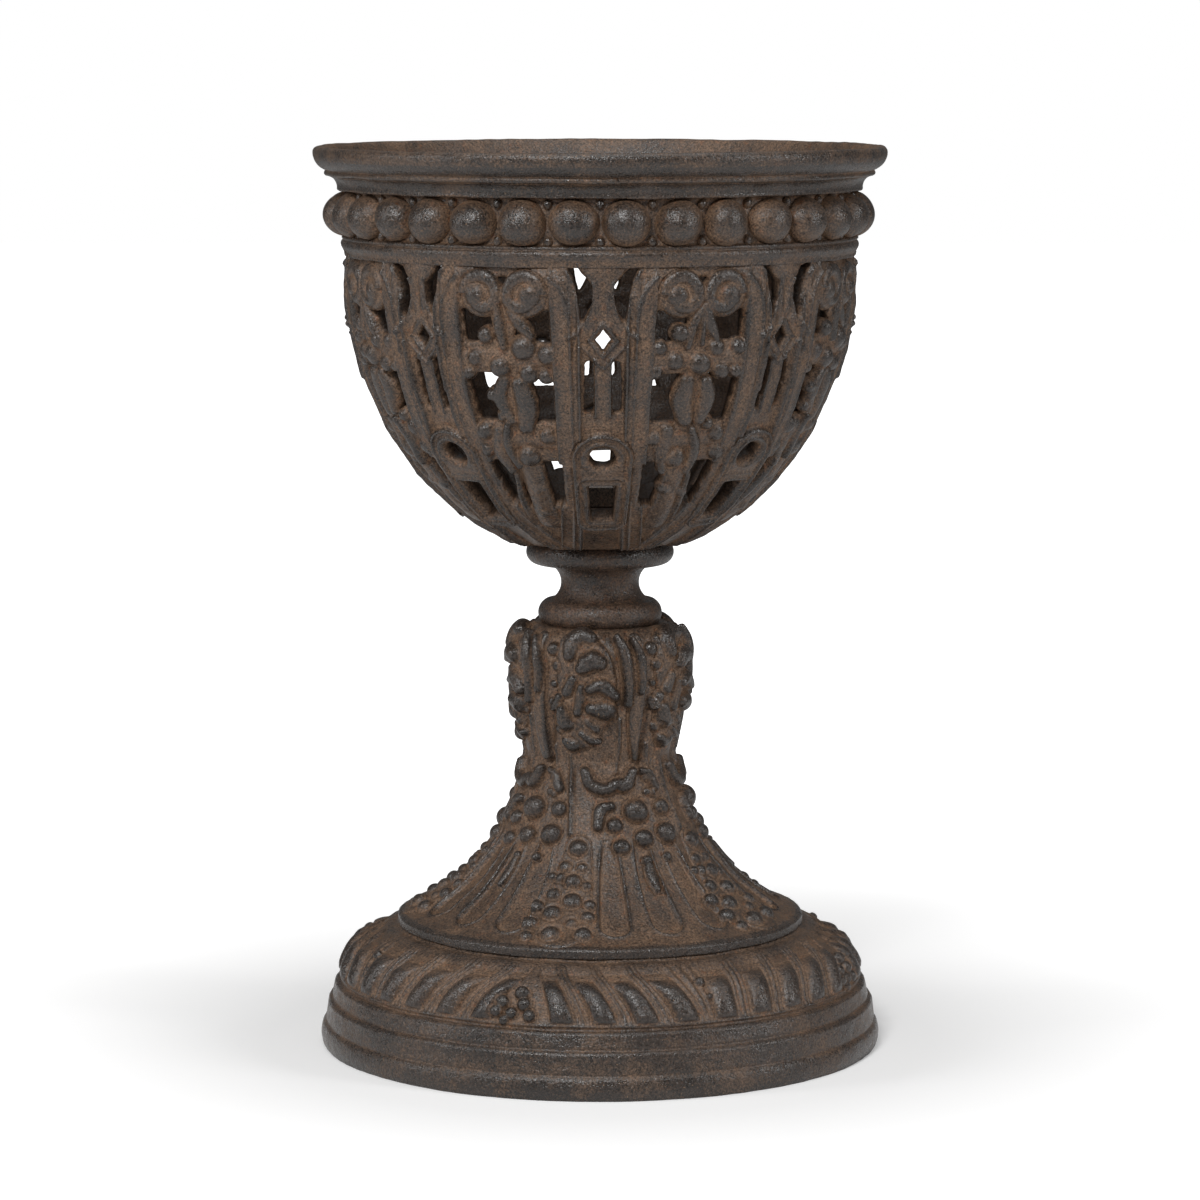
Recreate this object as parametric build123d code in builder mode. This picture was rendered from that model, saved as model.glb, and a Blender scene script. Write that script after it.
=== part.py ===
from build123d import *
from math import asin, cos, degrees, radians, sin, sqrt
import os

os.makedirs("parts", exist_ok=True)

# Millimetres, +Z up, origin on the floor under the axis, front of the cup toward -Y

# Heights of the four castings, from each seat to the next
foot_height = 43.4
stem_height = 107.6
collar_height = 29.0
bowl_height = 140.0

# Tie rod with its nuts and washers
rod_diameter = 10.0
rod_clearance = 0.2
rod_beyond_nut = 3.0
rod_bevel = 0.8
thread_fit = 0.05
nut_width = 16.0
nut_height = 8.0
nut_bevel = 0.7
washer_diameter = 24.0
washer_thickness = 2.0

# Bowl: lower wall, an ellipse of revolution with its centre near the top of the lattice
bowl_wall = 4.2
bowl_radius = 88.2
bowl_depth = 104.5
bowl_centre = 100.0
bowl_floor = 8.5
boss_radius = 15.0
boss_height = 2.0
lattice_top = 102.0

# Bowl: fillet, bead frieze, cavetto and lip
fillet_foot_radius = 89.8
fillet_radius = 90.8
fillet_top = 108.2
frieze_top = 125.0
frieze_radius = 89.0
bead_count = 32
bead_radius = 8.0
cavetto_foot_radius = 92.4
cavetto_head_radius = 95.4
cavetto_head = 129.8
cavetto_hollow = 0.9
astragal_radius = 96.8
astragal_head = 131.6
lip_radius = 101.0
lip_swell_radius = 99.7
lip_swell_level = 134.2
lip_edge_level = 137.0
lip_rounding = 1.4
lip_mouth_radius = 97.2
mouth_hollow = 2.0

# Tracery panels of the pierced wall: heights are above the bowl's seat
panel_count = 8
panel_turn = 0.7
bar_rise = 1.8
bar_inset = 7.4
bar_width = 11.0
bar_foot_inset = 6.2
bar_foot_width = 8.0
bar_foot_level = 22.0
volute_across = 25.6
volute_level = 93.0
volute_radius = 8.0
volute_groove_radius = 4.9
volute_groove_width = 1.3
volute_groove_sweep = 270
arch_radius = 10.4
arch_level = 36.6
arch_foot_inset = 8.0
arch_foot_level = 11.0
arch_hole_radius = 4.6
window_head_width = 9.2
window_sill_width = 7.2
window_head = 27.0
window_sill = 14.0
spandrel_top_near = 8.4
spandrel_top_far = 12.0
spandrel_top = 101.6
spandrel_shoulder = 3.5
spandrel_shoulder_level = 95.7
spandrel_bend = 3.4
spandrel_bend_level = 90.0
spandrel_tip = 6.9
spandrel_tip_level = 83.6
spandrel_outer = 8.9
spandrel_outer_level = 94.0
spandrel_curve = 0.8
diamond_width = 5.8
diamond_height = 7.2
diamond_level = 77.2
slot_inset = 4.8
slot_width = 3.4
slot_foot = 51.6
slot_head = 70.2

# Vine panels of the pierced wall
vine_gap_inset = 7.0
upper_gap_far = 15.6
upper_gap_foot = 78.5
upper_gap_head = 86.2
middle_gap_far = 15.0
middle_gap_foot_far = 13.2
middle_gap_foot = 49.5
middle_gap_head = 64.4
lower_gap_inset = 5.0
lower_gap_far = 10.8
lower_gap_foot_far = 8.6
lower_gap_foot = 20.0
lower_gap_head = 33.6
berry_radius = 4.4
berry_sink = 1.0
vine_berries = [(-9.6, 71.8), (0.0, 70.4), (9.6, 72.4), (0.0, 39.5)]

# Collar: disc, scotia neck and torus, heights above its seat on the stem
disc_radius = 26.3
disc_rounding = 2.0
disc_foot_radius = 22.6
disc_edge_level = 25.4
disc_foot_level = 21.2
neck_top_radius = 19.2
neck_radius = 13.9
neck_level = 14.0
neck_foot_radius = 17.8
torus_head = 8.2
torus_head_radius = 19.4
torus_radius = 22.0
torus_level = 4.4
torus_foot_radius = 20.6

# Stem: shouldered shaft that spreads into a skirt, heights above its seat on the foot
stem_wall = 4.6
shaft_head_radius = 23.4
bulge_radius = 28.8
bulge_level = 101.8
shoulder_radius = 30.0
shoulder_level = 94.5
shaft_radius = 29.0
shaft_level = 76.0
waist_radius = 25.2
waist_level = 61.6
skirt_radius = 36.6
skirt_level = 32.6
skirt_foot_radius = 66.0
skirt_foot_level = 5.6
ledge_radius = 72.5
ledge_thickness = 3.4
ledge_bevel = 0.7
spigot_depth = 3.0
spigot_wall = 4.0
spigot_fit = 0.2

# Stem relief, five times around: leaf masses, straps, berries, cascades and tongues
fold_count = 5
leaf_azimuth = -11.0
leaf_axis_radius = 24.6
leaf_reach = 35.2
leaf_level = 91.0
leaf_half_height = 13.5
lobe_reach = 31.6
lobe_level = 76.0
lobe_half_height = 11.0
strap_width = 7.5
strap_reach = 32.0
grape_radius = 4.8
grape_sink = 1.2
grape_level = 43.6
small_grape_radius = 4.1
small_grape_level = 34.2
small_grape_swing = 12.0
seam_turn = -13.0
relief_rise = 2.0
cascade_head_radius = 35.0
cascade_head_width = 5.0
cascade_foot_radius = 69.5
cascade_foot_width = 19.0
tongues_per_fold = 3
tongue_depth = 1.3
tongue_head_radius = 38.0
tongue_head_width = 6.4
tongue_foot_radius = 66.5
tongue_foot_width = 10.6

# Foot: gadrooned dome over stepped rings, heights above the floor
foot_wall = 5.0
foot_opening_radius = 62.0
foot_land_radius = 72.4
dome_top_radius = 73.4
dome_radius = 86.2
dome_level = 37.2
dome_foot_radius = 93.6
dome_foot_level = 24.0
crease_depth = 0.7
band_head_radius = 94.8
band_head_level = 22.4
band_foot_radius = 96.0
band_foot_level = 17.4
plinth_head_radius = 97.2
plinth_head_level = 16.2
plinth_foot_radius = 98.6
plinth_foot_level = 9.0
ring_head_radius = 99.3
ring_head_level = 8.0
ring_radius = 99.9
ring_level = 4.0
ring_foot_radius = 99.2
rim_width = 6.0
gadroon_slots = 40
motif_count = 4
motif_azimuth = -17.0
groove_depth = 1.3
groove_width = 2.6
groove_head_radius = 76.0
groove_lean = 7.0
groove_bend = 0.25
groove_sill = 1.0

# Bridge bar across the open underside of the foot
bridge_length = 138.0
bridge_width = 24.0
bridge_thickness = 6.0
bridge_corner = 3.0

collar_seat = foot_height + stem_height
bowl_seat = collar_seat + collar_height
rod_hole_radius = rod_diameter / 2 + rod_clearance
fold_angle = 360 / fold_count
panel_angle = 360 / panel_count


def azimuth_plane(azimuth, height):
    """Upright plane through the axis, facing out at an azimuth counted from the front toward +X."""
    turn = radians(azimuth)
    return Plane(
        origin=(0, 0, height),
        x_dir=(cos(turn), sin(turn), 0),
        z_dir=(sin(turn), -cos(turn), 0),
    )


def plan_point(radius, azimuth):
    """Point seen from above, at a radius and an azimuth counted from the front."""
    turn = radians(azimuth)
    return (radius * sin(turn), -radius * cos(turn))


def berry_place(radius, azimuth, height):
    """Place of a round berry, turned so that its pole faces outward."""
    return azimuth_plane(azimuth, height).offset(radius)


def moved_in(points, distance):
    """Profile points moved a distance down and toward the axis."""
    step = distance / sqrt(2)
    return [(radius - step, level - step) for radius, level in points]


def arc_band(points, depth):
    """Section of the layer that a cut of this depth takes from a round profile, with room outside it."""
    outer = moved_in(points, -depth)
    inner = moved_in(points, depth)
    with BuildLine() as outline:
        ThreePointArc(*outer)
        Line(outer[2], inner[2])
        ThreePointArc(*inner)
        Line(inner[0], outer[0])
    make_face(outline.edges())


def wall_radius(level):
    """Radius of the bowl's wall at a height above its seat."""
    return bowl_radius * sqrt(1 - ((bowl_centre - level) / bowl_depth) ** 2)


def washer(height):
    """Flat washer whose underside is at a height."""
    with BuildPart() as ring:
        with BuildSketch(Plane.XY.offset(height)):
            Circle(washer_diameter / 2)
            Circle(rod_hole_radius, mode=Mode.SUBTRACT)
        extrude(amount=washer_thickness)
    return ring


def hex_nut(height):
    """Hexagon nut whose underside is at a height, with its outer corners bevelled."""
    corner_radius = nut_width / sqrt(3)
    with BuildPart() as nut:
        with BuildSketch(Plane.XY.offset(height)):
            RegularPolygon(corner_radius, 6)
        extrude(amount=nut_height)
        with BuildSketch(Plane.XY.offset(height)):
            Circle(corner_radius)
        extrude(amount=nut_height, mode=Mode.INTERSECT)
        face_edges = nut.edges().group_by(Axis.Z)[0] + nut.edges().group_by(Axis.Z)[-1]
        chamfer(face_edges, nut_bevel)
        with BuildSketch(Plane.XY.offset(height)):
            Circle(rod_diameter / 2 + thread_fit)
        extrude(amount=nut_height, mode=Mode.SUBTRACT)
    return nut


# Bowl: raised bars, volutes and arch bosses, one set on each tracery panel
tracery_planes = [
    azimuth_plane(panel_turn + panel_angle * index, bowl_seat) for index in range(panel_count)
]
vine_planes = [
    azimuth_plane(panel_turn + panel_angle * (index + 0.5), bowl_seat) for index in range(panel_count)
]
groove_start = 90 - volute_groove_sweep / 2

with BuildPart() as tracery:
    with BuildSketch(*tracery_planes):
        Polygon(
            (bar_inset, volute_level),
            (bar_foot_inset, bar_foot_level),
            (bar_foot_inset + bar_foot_width, bar_foot_level),
            (bar_inset + bar_width, volute_level),
            align=None,
        )
        with BuildLine():
            EllipticalCenterArc(
                (volute_across, volute_level),
                volute_across - bar_inset,
                volute_radius,
                start_angle=90,
                arc_size=90,
            )
            Line((bar_inset, volute_level), (volute_across, volute_level))
            Line((volute_across, volute_level), (volute_across, volute_level + volute_radius))
        make_face()
        with Locations((volute_across, volute_level)):
            Circle(volute_radius)
        groove_line = CenterArc(
            (volute_across, volute_level),
            volute_groove_radius,
            groove_start,
            volute_groove_sweep,
            mode=Mode.PRIVATE,
        )
        SlotArc(groove_line, volute_groove_width, mode=Mode.SUBTRACT)
        mirror(about=Plane.YZ)
        with Locations((0, arch_level)):
            Circle(arch_radius)
        Polygon(
            (-arch_radius, arch_level),
            (-arch_foot_inset, arch_foot_level),
            (arch_foot_inset, arch_foot_level),
            (arch_radius, arch_level),
            align=None,
        )
    extrude(amount=lip_radius)
    with BuildSketch(Plane.XZ):
        with Locations((0, bowl_seat + bowl_centre)):
            Ellipse(bowl_radius + bar_rise, bowl_depth + bar_rise)
        with Locations((0, bowl_seat)):
            Rectangle(lip_radius, lattice_top, align=(Align.MIN, Align.MIN), mode=Mode.INTERSECT)
    revolve(axis=Axis.Z, mode=Mode.INTERSECT)

# Bowl: the casting itself
frieze_level = (fillet_top + frieze_top) / 2
berry_places = []
for index in range(panel_count):
    for across, level in vine_berries:
        reach = wall_radius(level) - berry_sink
        swing = panel_turn + panel_angle * (index + 0.5) + degrees(asin(across / reach))
        berry_places.append(berry_place(reach, swing, bowl_seat + level))

with BuildPart() as bowl:
    with BuildSketch(Plane.XZ):
        with Locations((0, bowl_seat + bowl_centre)):
            Ellipse(bowl_radius, bowl_depth)
        with Locations((0, bowl_seat)):
            Rectangle(lip_radius, lattice_top, align=(Align.MIN, Align.MIN), mode=Mode.INTERSECT)
    revolve(axis=Axis.Z)
    with BuildSketch(Plane.XZ):
        with BuildLine():
            frieze_foot = (frieze_radius, bowl_seat + fillet_top)
            frieze_head = (frieze_radius, bowl_seat + frieze_top)
            cavetto_foot = (cavetto_foot_radius, bowl_seat + frieze_top)
            cavetto_crown = (cavetto_head_radius, bowl_seat + cavetto_head)
            astragal_crown = (astragal_radius, bowl_seat + astragal_head)
            lip_swell = (lip_swell_radius, bowl_seat + lip_swell_level)
            lip_side = (lip_radius, bowl_seat + lip_edge_level)
            lip_edge = (lip_radius, bowl_seat + bowl_height - lip_rounding)
            lip_crown = (lip_radius - lip_rounding, bowl_seat + bowl_height)
            Polyline(
                (0, bowl_seat + lattice_top),
                (fillet_foot_radius, bowl_seat + lattice_top),
                (fillet_radius, bowl_seat + fillet_top),
                frieze_foot,
                frieze_head,
                cavetto_foot,
            )
            SagittaArc(cavetto_foot, cavetto_crown, cavetto_hollow)
            Polyline(cavetto_crown, (astragal_radius, bowl_seat + cavetto_head), astragal_crown)
            ThreePointArc(astragal_crown, lip_swell, lip_side)
            Line(lip_side, lip_edge)
            RadiusArc(lip_edge, lip_crown, -lip_rounding)
            Polyline(lip_crown, (0, bowl_seat + bowl_height), (0, bowl_seat + lattice_top))
        make_face()
    revolve(axis=Axis.Z)
    add(tracery.part)
    with Locations((0, 0, bowl_seat + frieze_level)):
        with PolarLocations(frieze_radius, bead_count, start_angle=-90 + 180 / bead_count):
            Sphere(bead_radius, rotation=(0, 90, 0))
    with Locations(*berry_places):
        Sphere(berry_radius)

    # Interior
    with BuildSketch(Plane.XZ):
        with Locations((0, bowl_seat + bowl_centre)):
            Ellipse(bowl_radius - bowl_wall, bowl_depth - bowl_wall)
        with Locations((0, bowl_seat + bowl_floor)):
            Rectangle(
                lip_radius,
                lattice_top - bowl_floor,
                align=(Align.MIN, Align.MIN),
                mode=Mode.INTERSECT,
            )
        with Locations((0, bowl_seat + bowl_floor)):
            Rectangle(boss_radius, boss_height, align=(Align.MIN, Align.MIN), mode=Mode.SUBTRACT)
    revolve(axis=Axis.Z, mode=Mode.SUBTRACT)
    with BuildSketch(Plane.XZ):
        with BuildLine():
            throat_foot = (bowl_radius - bowl_wall, bowl_seat + lattice_top)
            throat_head = (bowl_radius - bowl_wall, bowl_seat + frieze_level)
            mouth = (lip_mouth_radius, bowl_seat + bowl_height)
            Polyline((0, bowl_seat + lattice_top), throat_foot, throat_head)
            SagittaArc(throat_head, mouth, mouth_hollow)
            Polyline(mouth, (0, bowl_seat + bowl_height), (0, bowl_seat + lattice_top))
        make_face()
    revolve(axis=Axis.Z, mode=Mode.SUBTRACT)

    # Openings of the tracery panels
    with BuildSketch(*tracery_planes):
        with BuildLine():
            spandrel_near = (spandrel_top_near, spandrel_top)
            spandrel_neck = (spandrel_shoulder, spandrel_shoulder_level)
            spandrel_knee = (spandrel_bend, spandrel_bend_level)
            spandrel_point = (spandrel_tip, spandrel_tip_level)
            spandrel_far = (spandrel_top_far, spandrel_top)
            SagittaArc(spandrel_near, spandrel_neck, spandrel_curve)
            Line(spandrel_neck, spandrel_knee)
            SagittaArc(spandrel_knee, spandrel_point, -spandrel_curve)
            ThreePointArc(spandrel_point, (spandrel_outer, spandrel_outer_level), spandrel_far)
            Line(spandrel_far, spandrel_near)
        make_face()
        with Locations((slot_inset, (slot_foot + slot_head) / 2)):
            SlotOverall(slot_head - slot_foot, slot_width, rotation=90)
        mirror(about=Plane.YZ)
        Polygon(
            (-diamond_width / 2, diamond_level),
            (0, diamond_level - diamond_height / 2),
            (diamond_width / 2, diamond_level),
            (0, diamond_level + diamond_height / 2),
            align=None,
        )
        with Locations((0, arch_level)):
            Circle(arch_hole_radius)
        Polygon(
            (-window_head_width / 2, window_head),
            (-window_sill_width / 2, window_sill),
            (window_sill_width / 2, window_sill),
            (window_head_width / 2, window_head),
            align=None,
        )
    extrude(amount=lip_radius, mode=Mode.SUBTRACT)

    # Openings of the vine panels
    with BuildSketch(*vine_planes):
        Polygon(
            (vine_gap_inset, upper_gap_foot),
            (upper_gap_far, upper_gap_foot),
            (upper_gap_far, upper_gap_head),
            (vine_gap_inset, upper_gap_head),
            align=None,
        )
        Polygon(
            (vine_gap_inset, middle_gap_foot),
            (middle_gap_foot_far, middle_gap_foot),
            (middle_gap_far, middle_gap_head),
            (vine_gap_inset, middle_gap_head),
            align=None,
        )
        Polygon(
            (lower_gap_inset, lower_gap_foot),
            (lower_gap_foot_far, lower_gap_foot),
            (lower_gap_far, lower_gap_head),
            (lower_gap_inset, lower_gap_head),
            align=None,
        )
        mirror(about=Plane.YZ)
    extrude(amount=lip_radius, mode=Mode.SUBTRACT)

    with BuildSketch(Plane.XY.offset(bowl_seat)):
        Circle(rod_hole_radius)
    extrude(amount=bowl_floor + boss_height, mode=Mode.SUBTRACT)

bowl.part.label = "bowl"
export_step(bowl.part, "parts/bowl.step")

# Collar
with BuildPart() as neck_collar:
    with BuildSketch(Plane.XZ):
        with BuildLine():
            disc_head = (disc_radius - disc_rounding, collar_seat + collar_height)
            disc_edge = (disc_radius, collar_seat + disc_edge_level)
            disc_foot = (disc_foot_radius, collar_seat + disc_foot_level)
            neck_head = (neck_top_radius, collar_seat + disc_foot_level)
            neck = (neck_radius, collar_seat + neck_level)
            neck_foot = (neck_foot_radius, collar_seat + torus_head)
            torus_crown = (torus_head_radius, collar_seat + torus_head)
            torus_edge = (torus_radius, collar_seat + torus_level)
            torus_foot = (torus_foot_radius, collar_seat)
            Line((rod_hole_radius, collar_seat + collar_height), disc_head)
            ThreePointArc(disc_head, disc_edge, disc_foot)
            Line(disc_foot, neck_head)
            ThreePointArc(neck_head, neck, neck_foot)
            Line(neck_foot, torus_crown)
            ThreePointArc(torus_crown, torus_edge, torus_foot)
            Polyline(
                torus_foot,
                (rod_hole_radius, collar_seat),
                (rod_hole_radius, collar_seat + collar_height),
            )
        make_face()
    revolve(axis=Axis.Z)

neck_collar.part.label = "neck_collar"
export_step(neck_collar.part, "parts/neck_collar.step")

# Stem: profile points and the azimuths of its relief
shaft_head = (shaft_head_radius, collar_seat)
shoulder_bulge = (bulge_radius, foot_height + bulge_level)
shoulder = (shoulder_radius, foot_height + shoulder_level)
shaft = (shaft_radius, foot_height + shaft_level)
waist = (waist_radius, foot_height + waist_level)
skirt_middle = (skirt_radius, foot_height + skirt_level)
skirt_foot = (skirt_foot_radius, foot_height + skirt_foot_level)
skirt_points = [waist, skirt_middle, skirt_foot]
stem_plane = azimuth_plane(seam_turn, 0)
leaf_azimuths = [leaf_azimuth + fold_angle * index for index in range(fold_count)]
strap_azimuths = [azimuth + fold_angle / 2 for azimuth in leaf_azimuths]


def skirt_reach(level):
    """Radius of the skirt's surface at a height above the stem's seat."""
    curve = ThreePointArc(*skirt_points, mode=Mode.PRIVATE)
    centre = curve.arc_center
    return centre.X - sqrt(curve.radius**2 - (foot_height + level - centre.Y) ** 2)


def stem_section(rise):
    """Half section of the solid shaft and skirt, with its surface raised by a distance."""
    head, bulge, side, low, narrow, flare, foot = moved_in(
        [shaft_head, shoulder_bulge, shoulder, shaft, *skirt_points], -rise
    )
    with BuildLine() as outline:
        ThreePointArc(head, bulge, side)
        Line(side, low)
        Line(low, narrow)
        ThreePointArc(narrow, flare, foot)
        Polyline(foot, (foot[0], foot_height), (0, foot_height), (0, head[1]), head)
    make_face(outline.edges())


def fan_strip(near, far, near_width, far_width, azimuth):
    """Tapered strip seen from above, between two radii, with a rounded far end."""
    near_swing = degrees(near_width / 2 / near)
    far_swing = degrees(far_width / 2 / far)
    shoulder_at = far - far_width / 2
    left_foot = plan_point(shoulder_at, azimuth - far_swing)
    right_foot = plan_point(shoulder_at, azimuth + far_swing)
    left_head = plan_point(near, azimuth - near_swing)
    right_head = plan_point(near, azimuth + near_swing)
    with BuildLine() as outline:
        Line(left_head, left_foot)
        ThreePointArc(left_foot, plan_point(far, azimuth), right_foot)
        Polyline(right_foot, right_head, left_head)
    make_face(outline.edges())


# Stem: leaf masses on the shoulder, then straps and cascades as one raised layer
with BuildPart() as leaf_mass:
    for reach, level, half_height in [
        (leaf_reach, leaf_level, leaf_half_height),
        (lobe_reach, lobe_level, lobe_half_height),
    ]:
        with BuildSketch(Plane.XZ):
            with Locations((leaf_axis_radius, foot_height + level)):
                Ellipse(reach - leaf_axis_radius, half_height)
                Rectangle(
                    reach, 2 * half_height, align=(Align.MIN, Align.CENTER), mode=Mode.INTERSECT
                )
        revolve(axis=Axis((leaf_axis_radius, 0, 0), (0, 0, 1)))

with BuildPart() as raised_relief:
    with BuildSketch(stem_plane):
        stem_section(relief_rise)
    revolve(axis=Axis.Z)
    with BuildSketch(Plane.XY.offset(foot_height)):
        for azimuth in leaf_azimuths:
            fan_strip(
                cascade_head_radius,
                cascade_foot_radius,
                cascade_head_width,
                cascade_foot_width,
                azimuth,
            )
        for azimuth in strap_azimuths:
            with Locations(plan_point(strap_reach / 2, azimuth)):
                Rectangle(strap_width, strap_reach, rotation=azimuth)
    extrude(amount=stem_height, mode=Mode.INTERSECT)

with BuildPart() as tongue_recesses:
    with BuildSketch(stem_plane):
        arc_band(skirt_points, tongue_depth)
    revolve(axis=Axis.Z)
    with BuildSketch(Plane.XY.offset(foot_height)):
        for azimuth in leaf_azimuths:
            for index in range(1, tongues_per_fold + 1):
                fan_strip(
                    tongue_head_radius,
                    tongue_foot_radius,
                    tongue_head_width,
                    tongue_foot_width,
                    azimuth + fold_angle * index / (tongues_per_fold + 1),
                )
    extrude(amount=stem_height, mode=Mode.INTERSECT)

# Stem: the casting itself
grape_reach = skirt_reach(grape_level) + grape_radius - grape_sink
small_grape_reach = skirt_reach(small_grape_level) + small_grape_radius - grape_sink
grape_places = [
    berry_place(grape_reach, azimuth, foot_height + grape_level) for azimuth in strap_azimuths
]
small_grape_places = [
    berry_place(small_grape_reach, azimuth + swing, foot_height + small_grape_level)
    for azimuth in strap_azimuths
    for swing in (-small_grape_swing, small_grape_swing)
]

with BuildPart() as stem:
    with BuildSketch(stem_plane):
        stem_section(0)
        Polygon(
            (0, foot_height),
            (ledge_radius, foot_height),
            (ledge_radius, foot_height + ledge_thickness - ledge_bevel),
            (ledge_radius - ledge_bevel, foot_height + ledge_thickness),
            skirt_foot,
            (0, foot_height + skirt_foot_level),
            align=None,
        )
    revolve(axis=Axis.Z)
    add(tongue_recesses.part, mode=Mode.SUBTRACT)
    add(raised_relief.part)
    for azimuth in leaf_azimuths:
        add(leaf_mass.part, rotation=(0, 0, azimuth - 90))
    with Locations(*grape_places):
        Sphere(grape_radius)
    with Locations(*small_grape_places):
        Sphere(small_grape_radius)

    # Hollow inside, open below, with a register ring that enters the foot
    spigot_radius = foot_opening_radius - spigot_fit
    with BuildSketch(stem_plane):
        Polygon(
            (0, foot_height - spigot_depth),
            (spigot_radius, foot_height - spigot_depth),
            (spigot_radius, foot_height),
            (0, foot_height),
            align=None,
        )
    revolve(axis=Axis.Z)
    with BuildSketch(stem_plane):
        hollow_foot, hollow_flare, hollow_waist = [
            (spigot_radius - spigot_wall, foot_height + ledge_thickness),
            moved_in([skirt_middle], stem_wall)[0],
            (waist_radius - stem_wall, foot_height + waist_level),
        ]
        with BuildLine():
            Polyline(
                (0, foot_height - spigot_depth),
                (spigot_radius - spigot_wall, foot_height - spigot_depth),
                hollow_foot,
            )
            ThreePointArc(hollow_foot, hollow_flare, hollow_waist)
            Polyline(
                hollow_waist,
                (shaft_radius - stem_wall, foot_height + shaft_level),
                (shoulder_radius - stem_wall, foot_height + shoulder_level),
                (0, foot_height + shoulder_level),
                (0, foot_height - spigot_depth),
            )
        make_face()
    revolve(axis=Axis.Z, mode=Mode.SUBTRACT)
    with BuildSketch(Plane.XY.offset(foot_height)):
        Circle(rod_hole_radius)
    extrude(amount=stem_height, mode=Mode.SUBTRACT)

stem.part.label = "stem"
export_step(stem.part, "parts/stem.step")

# Foot: grooves between the gadroons, leaning away from the berry motifs
dome_points = [
    (dome_top_radius, foot_height),
    (dome_radius, dome_level),
    (dome_foot_radius, dome_foot_level),
]
slots_per_motif = gadroon_slots // motif_count
slot_angle = 360 / gadroon_slots


def groove_strip(azimuth, lean):
    """Narrow strip seen from above that runs down the dome and swings sideways by a lean."""
    half = degrees(groove_width / 2 / dome_radius)
    middle_radius = (groove_head_radius + dome_foot_radius) / 2
    edges = []
    for side in (-half, half):
        edges.append(
            [
                plan_point(groove_head_radius, azimuth - lean + side),
                plan_point(middle_radius, azimuth - lean * groove_bend + side),
                plan_point(dome_foot_radius + groove_depth, azimuth + side),
            ]
        )
    left, right = edges
    with BuildLine() as outline:
        ThreePointArc(*left)
        Line(left[2], right[2])
        ThreePointArc(*right)
        Line(right[0], left[0])
    make_face(outline.edges())


with BuildPart() as gadroon_grooves:
    with BuildSketch(Plane.XZ):
        arc_band(dome_points, groove_depth)
    revolve(axis=Axis.Z)
    with BuildSketch(Plane.XY.offset(dome_foot_level + groove_sill)):
        for motif in range(motif_count):
            for index in range(slots_per_motif):
                place = index + 0.5 - slots_per_motif / 2
                lean = groove_lean if place < 0 else -groove_lean * place / slots_per_motif * 2
                groove_strip(
                    motif_azimuth + 360 / motif_count * motif + slot_angle * (index + 0.5),
                    lean,
                )
    extrude(amount=foot_height, mode=Mode.INTERSECT)

# Foot: the casting itself
land_underside = foot_height - foot_wall
with BuildPart() as foot:
    with BuildSketch(Plane.XZ):
        with BuildLine():
            Line((foot_opening_radius, foot_height), dome_points[0])
            ThreePointArc(*dome_points)
            Polyline(
                dome_points[2],
                (dome_foot_radius - crease_depth, dome_foot_level - crease_depth),
                (band_head_radius, band_head_level),
                (band_foot_radius, band_foot_level),
                (plinth_head_radius, plinth_head_level),
                (plinth_foot_radius, plinth_foot_level),
                (ring_head_radius, ring_head_level),
            )
            ThreePointArc(
                (ring_head_radius, ring_head_level),
                (ring_radius, ring_level),
                (ring_foot_radius, 0),
            )
            Polyline(
                (ring_foot_radius, 0),
                (ring_foot_radius - rim_width, 0),
                (dome_foot_radius - foot_wall, dome_foot_level),
            )
            ThreePointArc(
                (dome_foot_radius - foot_wall, dome_foot_level),
                moved_in([dome_points[1]], foot_wall)[0],
                (foot_land_radius, land_underside),
            )
            Polyline(
                (foot_land_radius, land_underside),
                (foot_opening_radius, land_underside),
                (foot_opening_radius, foot_height),
            )
        make_face()
    revolve(axis=Axis.Z)
    add(gadroon_grooves.part, mode=Mode.SUBTRACT)

foot.part.label = "foot"
export_step(foot.part, "parts/foot.step")

# Bridge bar pressed up against the foot, with its washer and nut
bridge_seat = land_underside - bridge_thickness
with BuildPart() as bridge_bar:
    with BuildSketch(Plane.XY.offset(bridge_seat)):
        RectangleRounded(bridge_length, bridge_width, bridge_corner)
        Circle(rod_hole_radius, mode=Mode.SUBTRACT)
    extrude(amount=bridge_thickness)

bridge_bar.part.label = "bridge_bar"
export_step(bridge_bar.part, "parts/bridge_bar.step")

bridge_washer_seat = bridge_seat - washer_thickness
bridge_nut_seat = bridge_washer_seat - nut_height
bridge_washer = washer(bridge_washer_seat)
bridge_washer.part.label = "bridge_washer"
export_step(bridge_washer.part, "parts/bridge_washer.step")

bridge_nut = hex_nut(bridge_nut_seat)
bridge_nut.part.label = "bridge_nut"
export_step(bridge_nut.part, "parts/bridge_nut.step")

# Washer and nut on the boss inside the bowl
bowl_washer_seat = bowl_seat + bowl_floor + boss_height
bowl_nut_seat = bowl_washer_seat + washer_thickness
bowl_washer = washer(bowl_washer_seat)
bowl_washer.part.label = "bowl_washer"
export_step(bowl_washer.part, "parts/bowl_washer.step")

bowl_nut = hex_nut(bowl_nut_seat)
bowl_nut.part.label = "bowl_nut"
export_step(bowl_nut.part, "parts/bowl_nut.step")

# Tie rod
rod_foot = bridge_nut_seat - rod_beyond_nut
rod_head = bowl_nut_seat + nut_height + rod_beyond_nut
with BuildPart() as tie_rod:
    with BuildSketch(Plane.XY.offset(rod_foot)):
        Circle(rod_diameter / 2)
    extrude(amount=rod_head - rod_foot)
    chamfer(tie_rod.edges(), rod_bevel)

tie_rod.part.label = "tie_rod"
export_step(tie_rod.part, "parts/tie_rod.step")
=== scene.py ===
from math import asin, atan2, cos, pi, radians, sin, sqrt, tau

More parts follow.
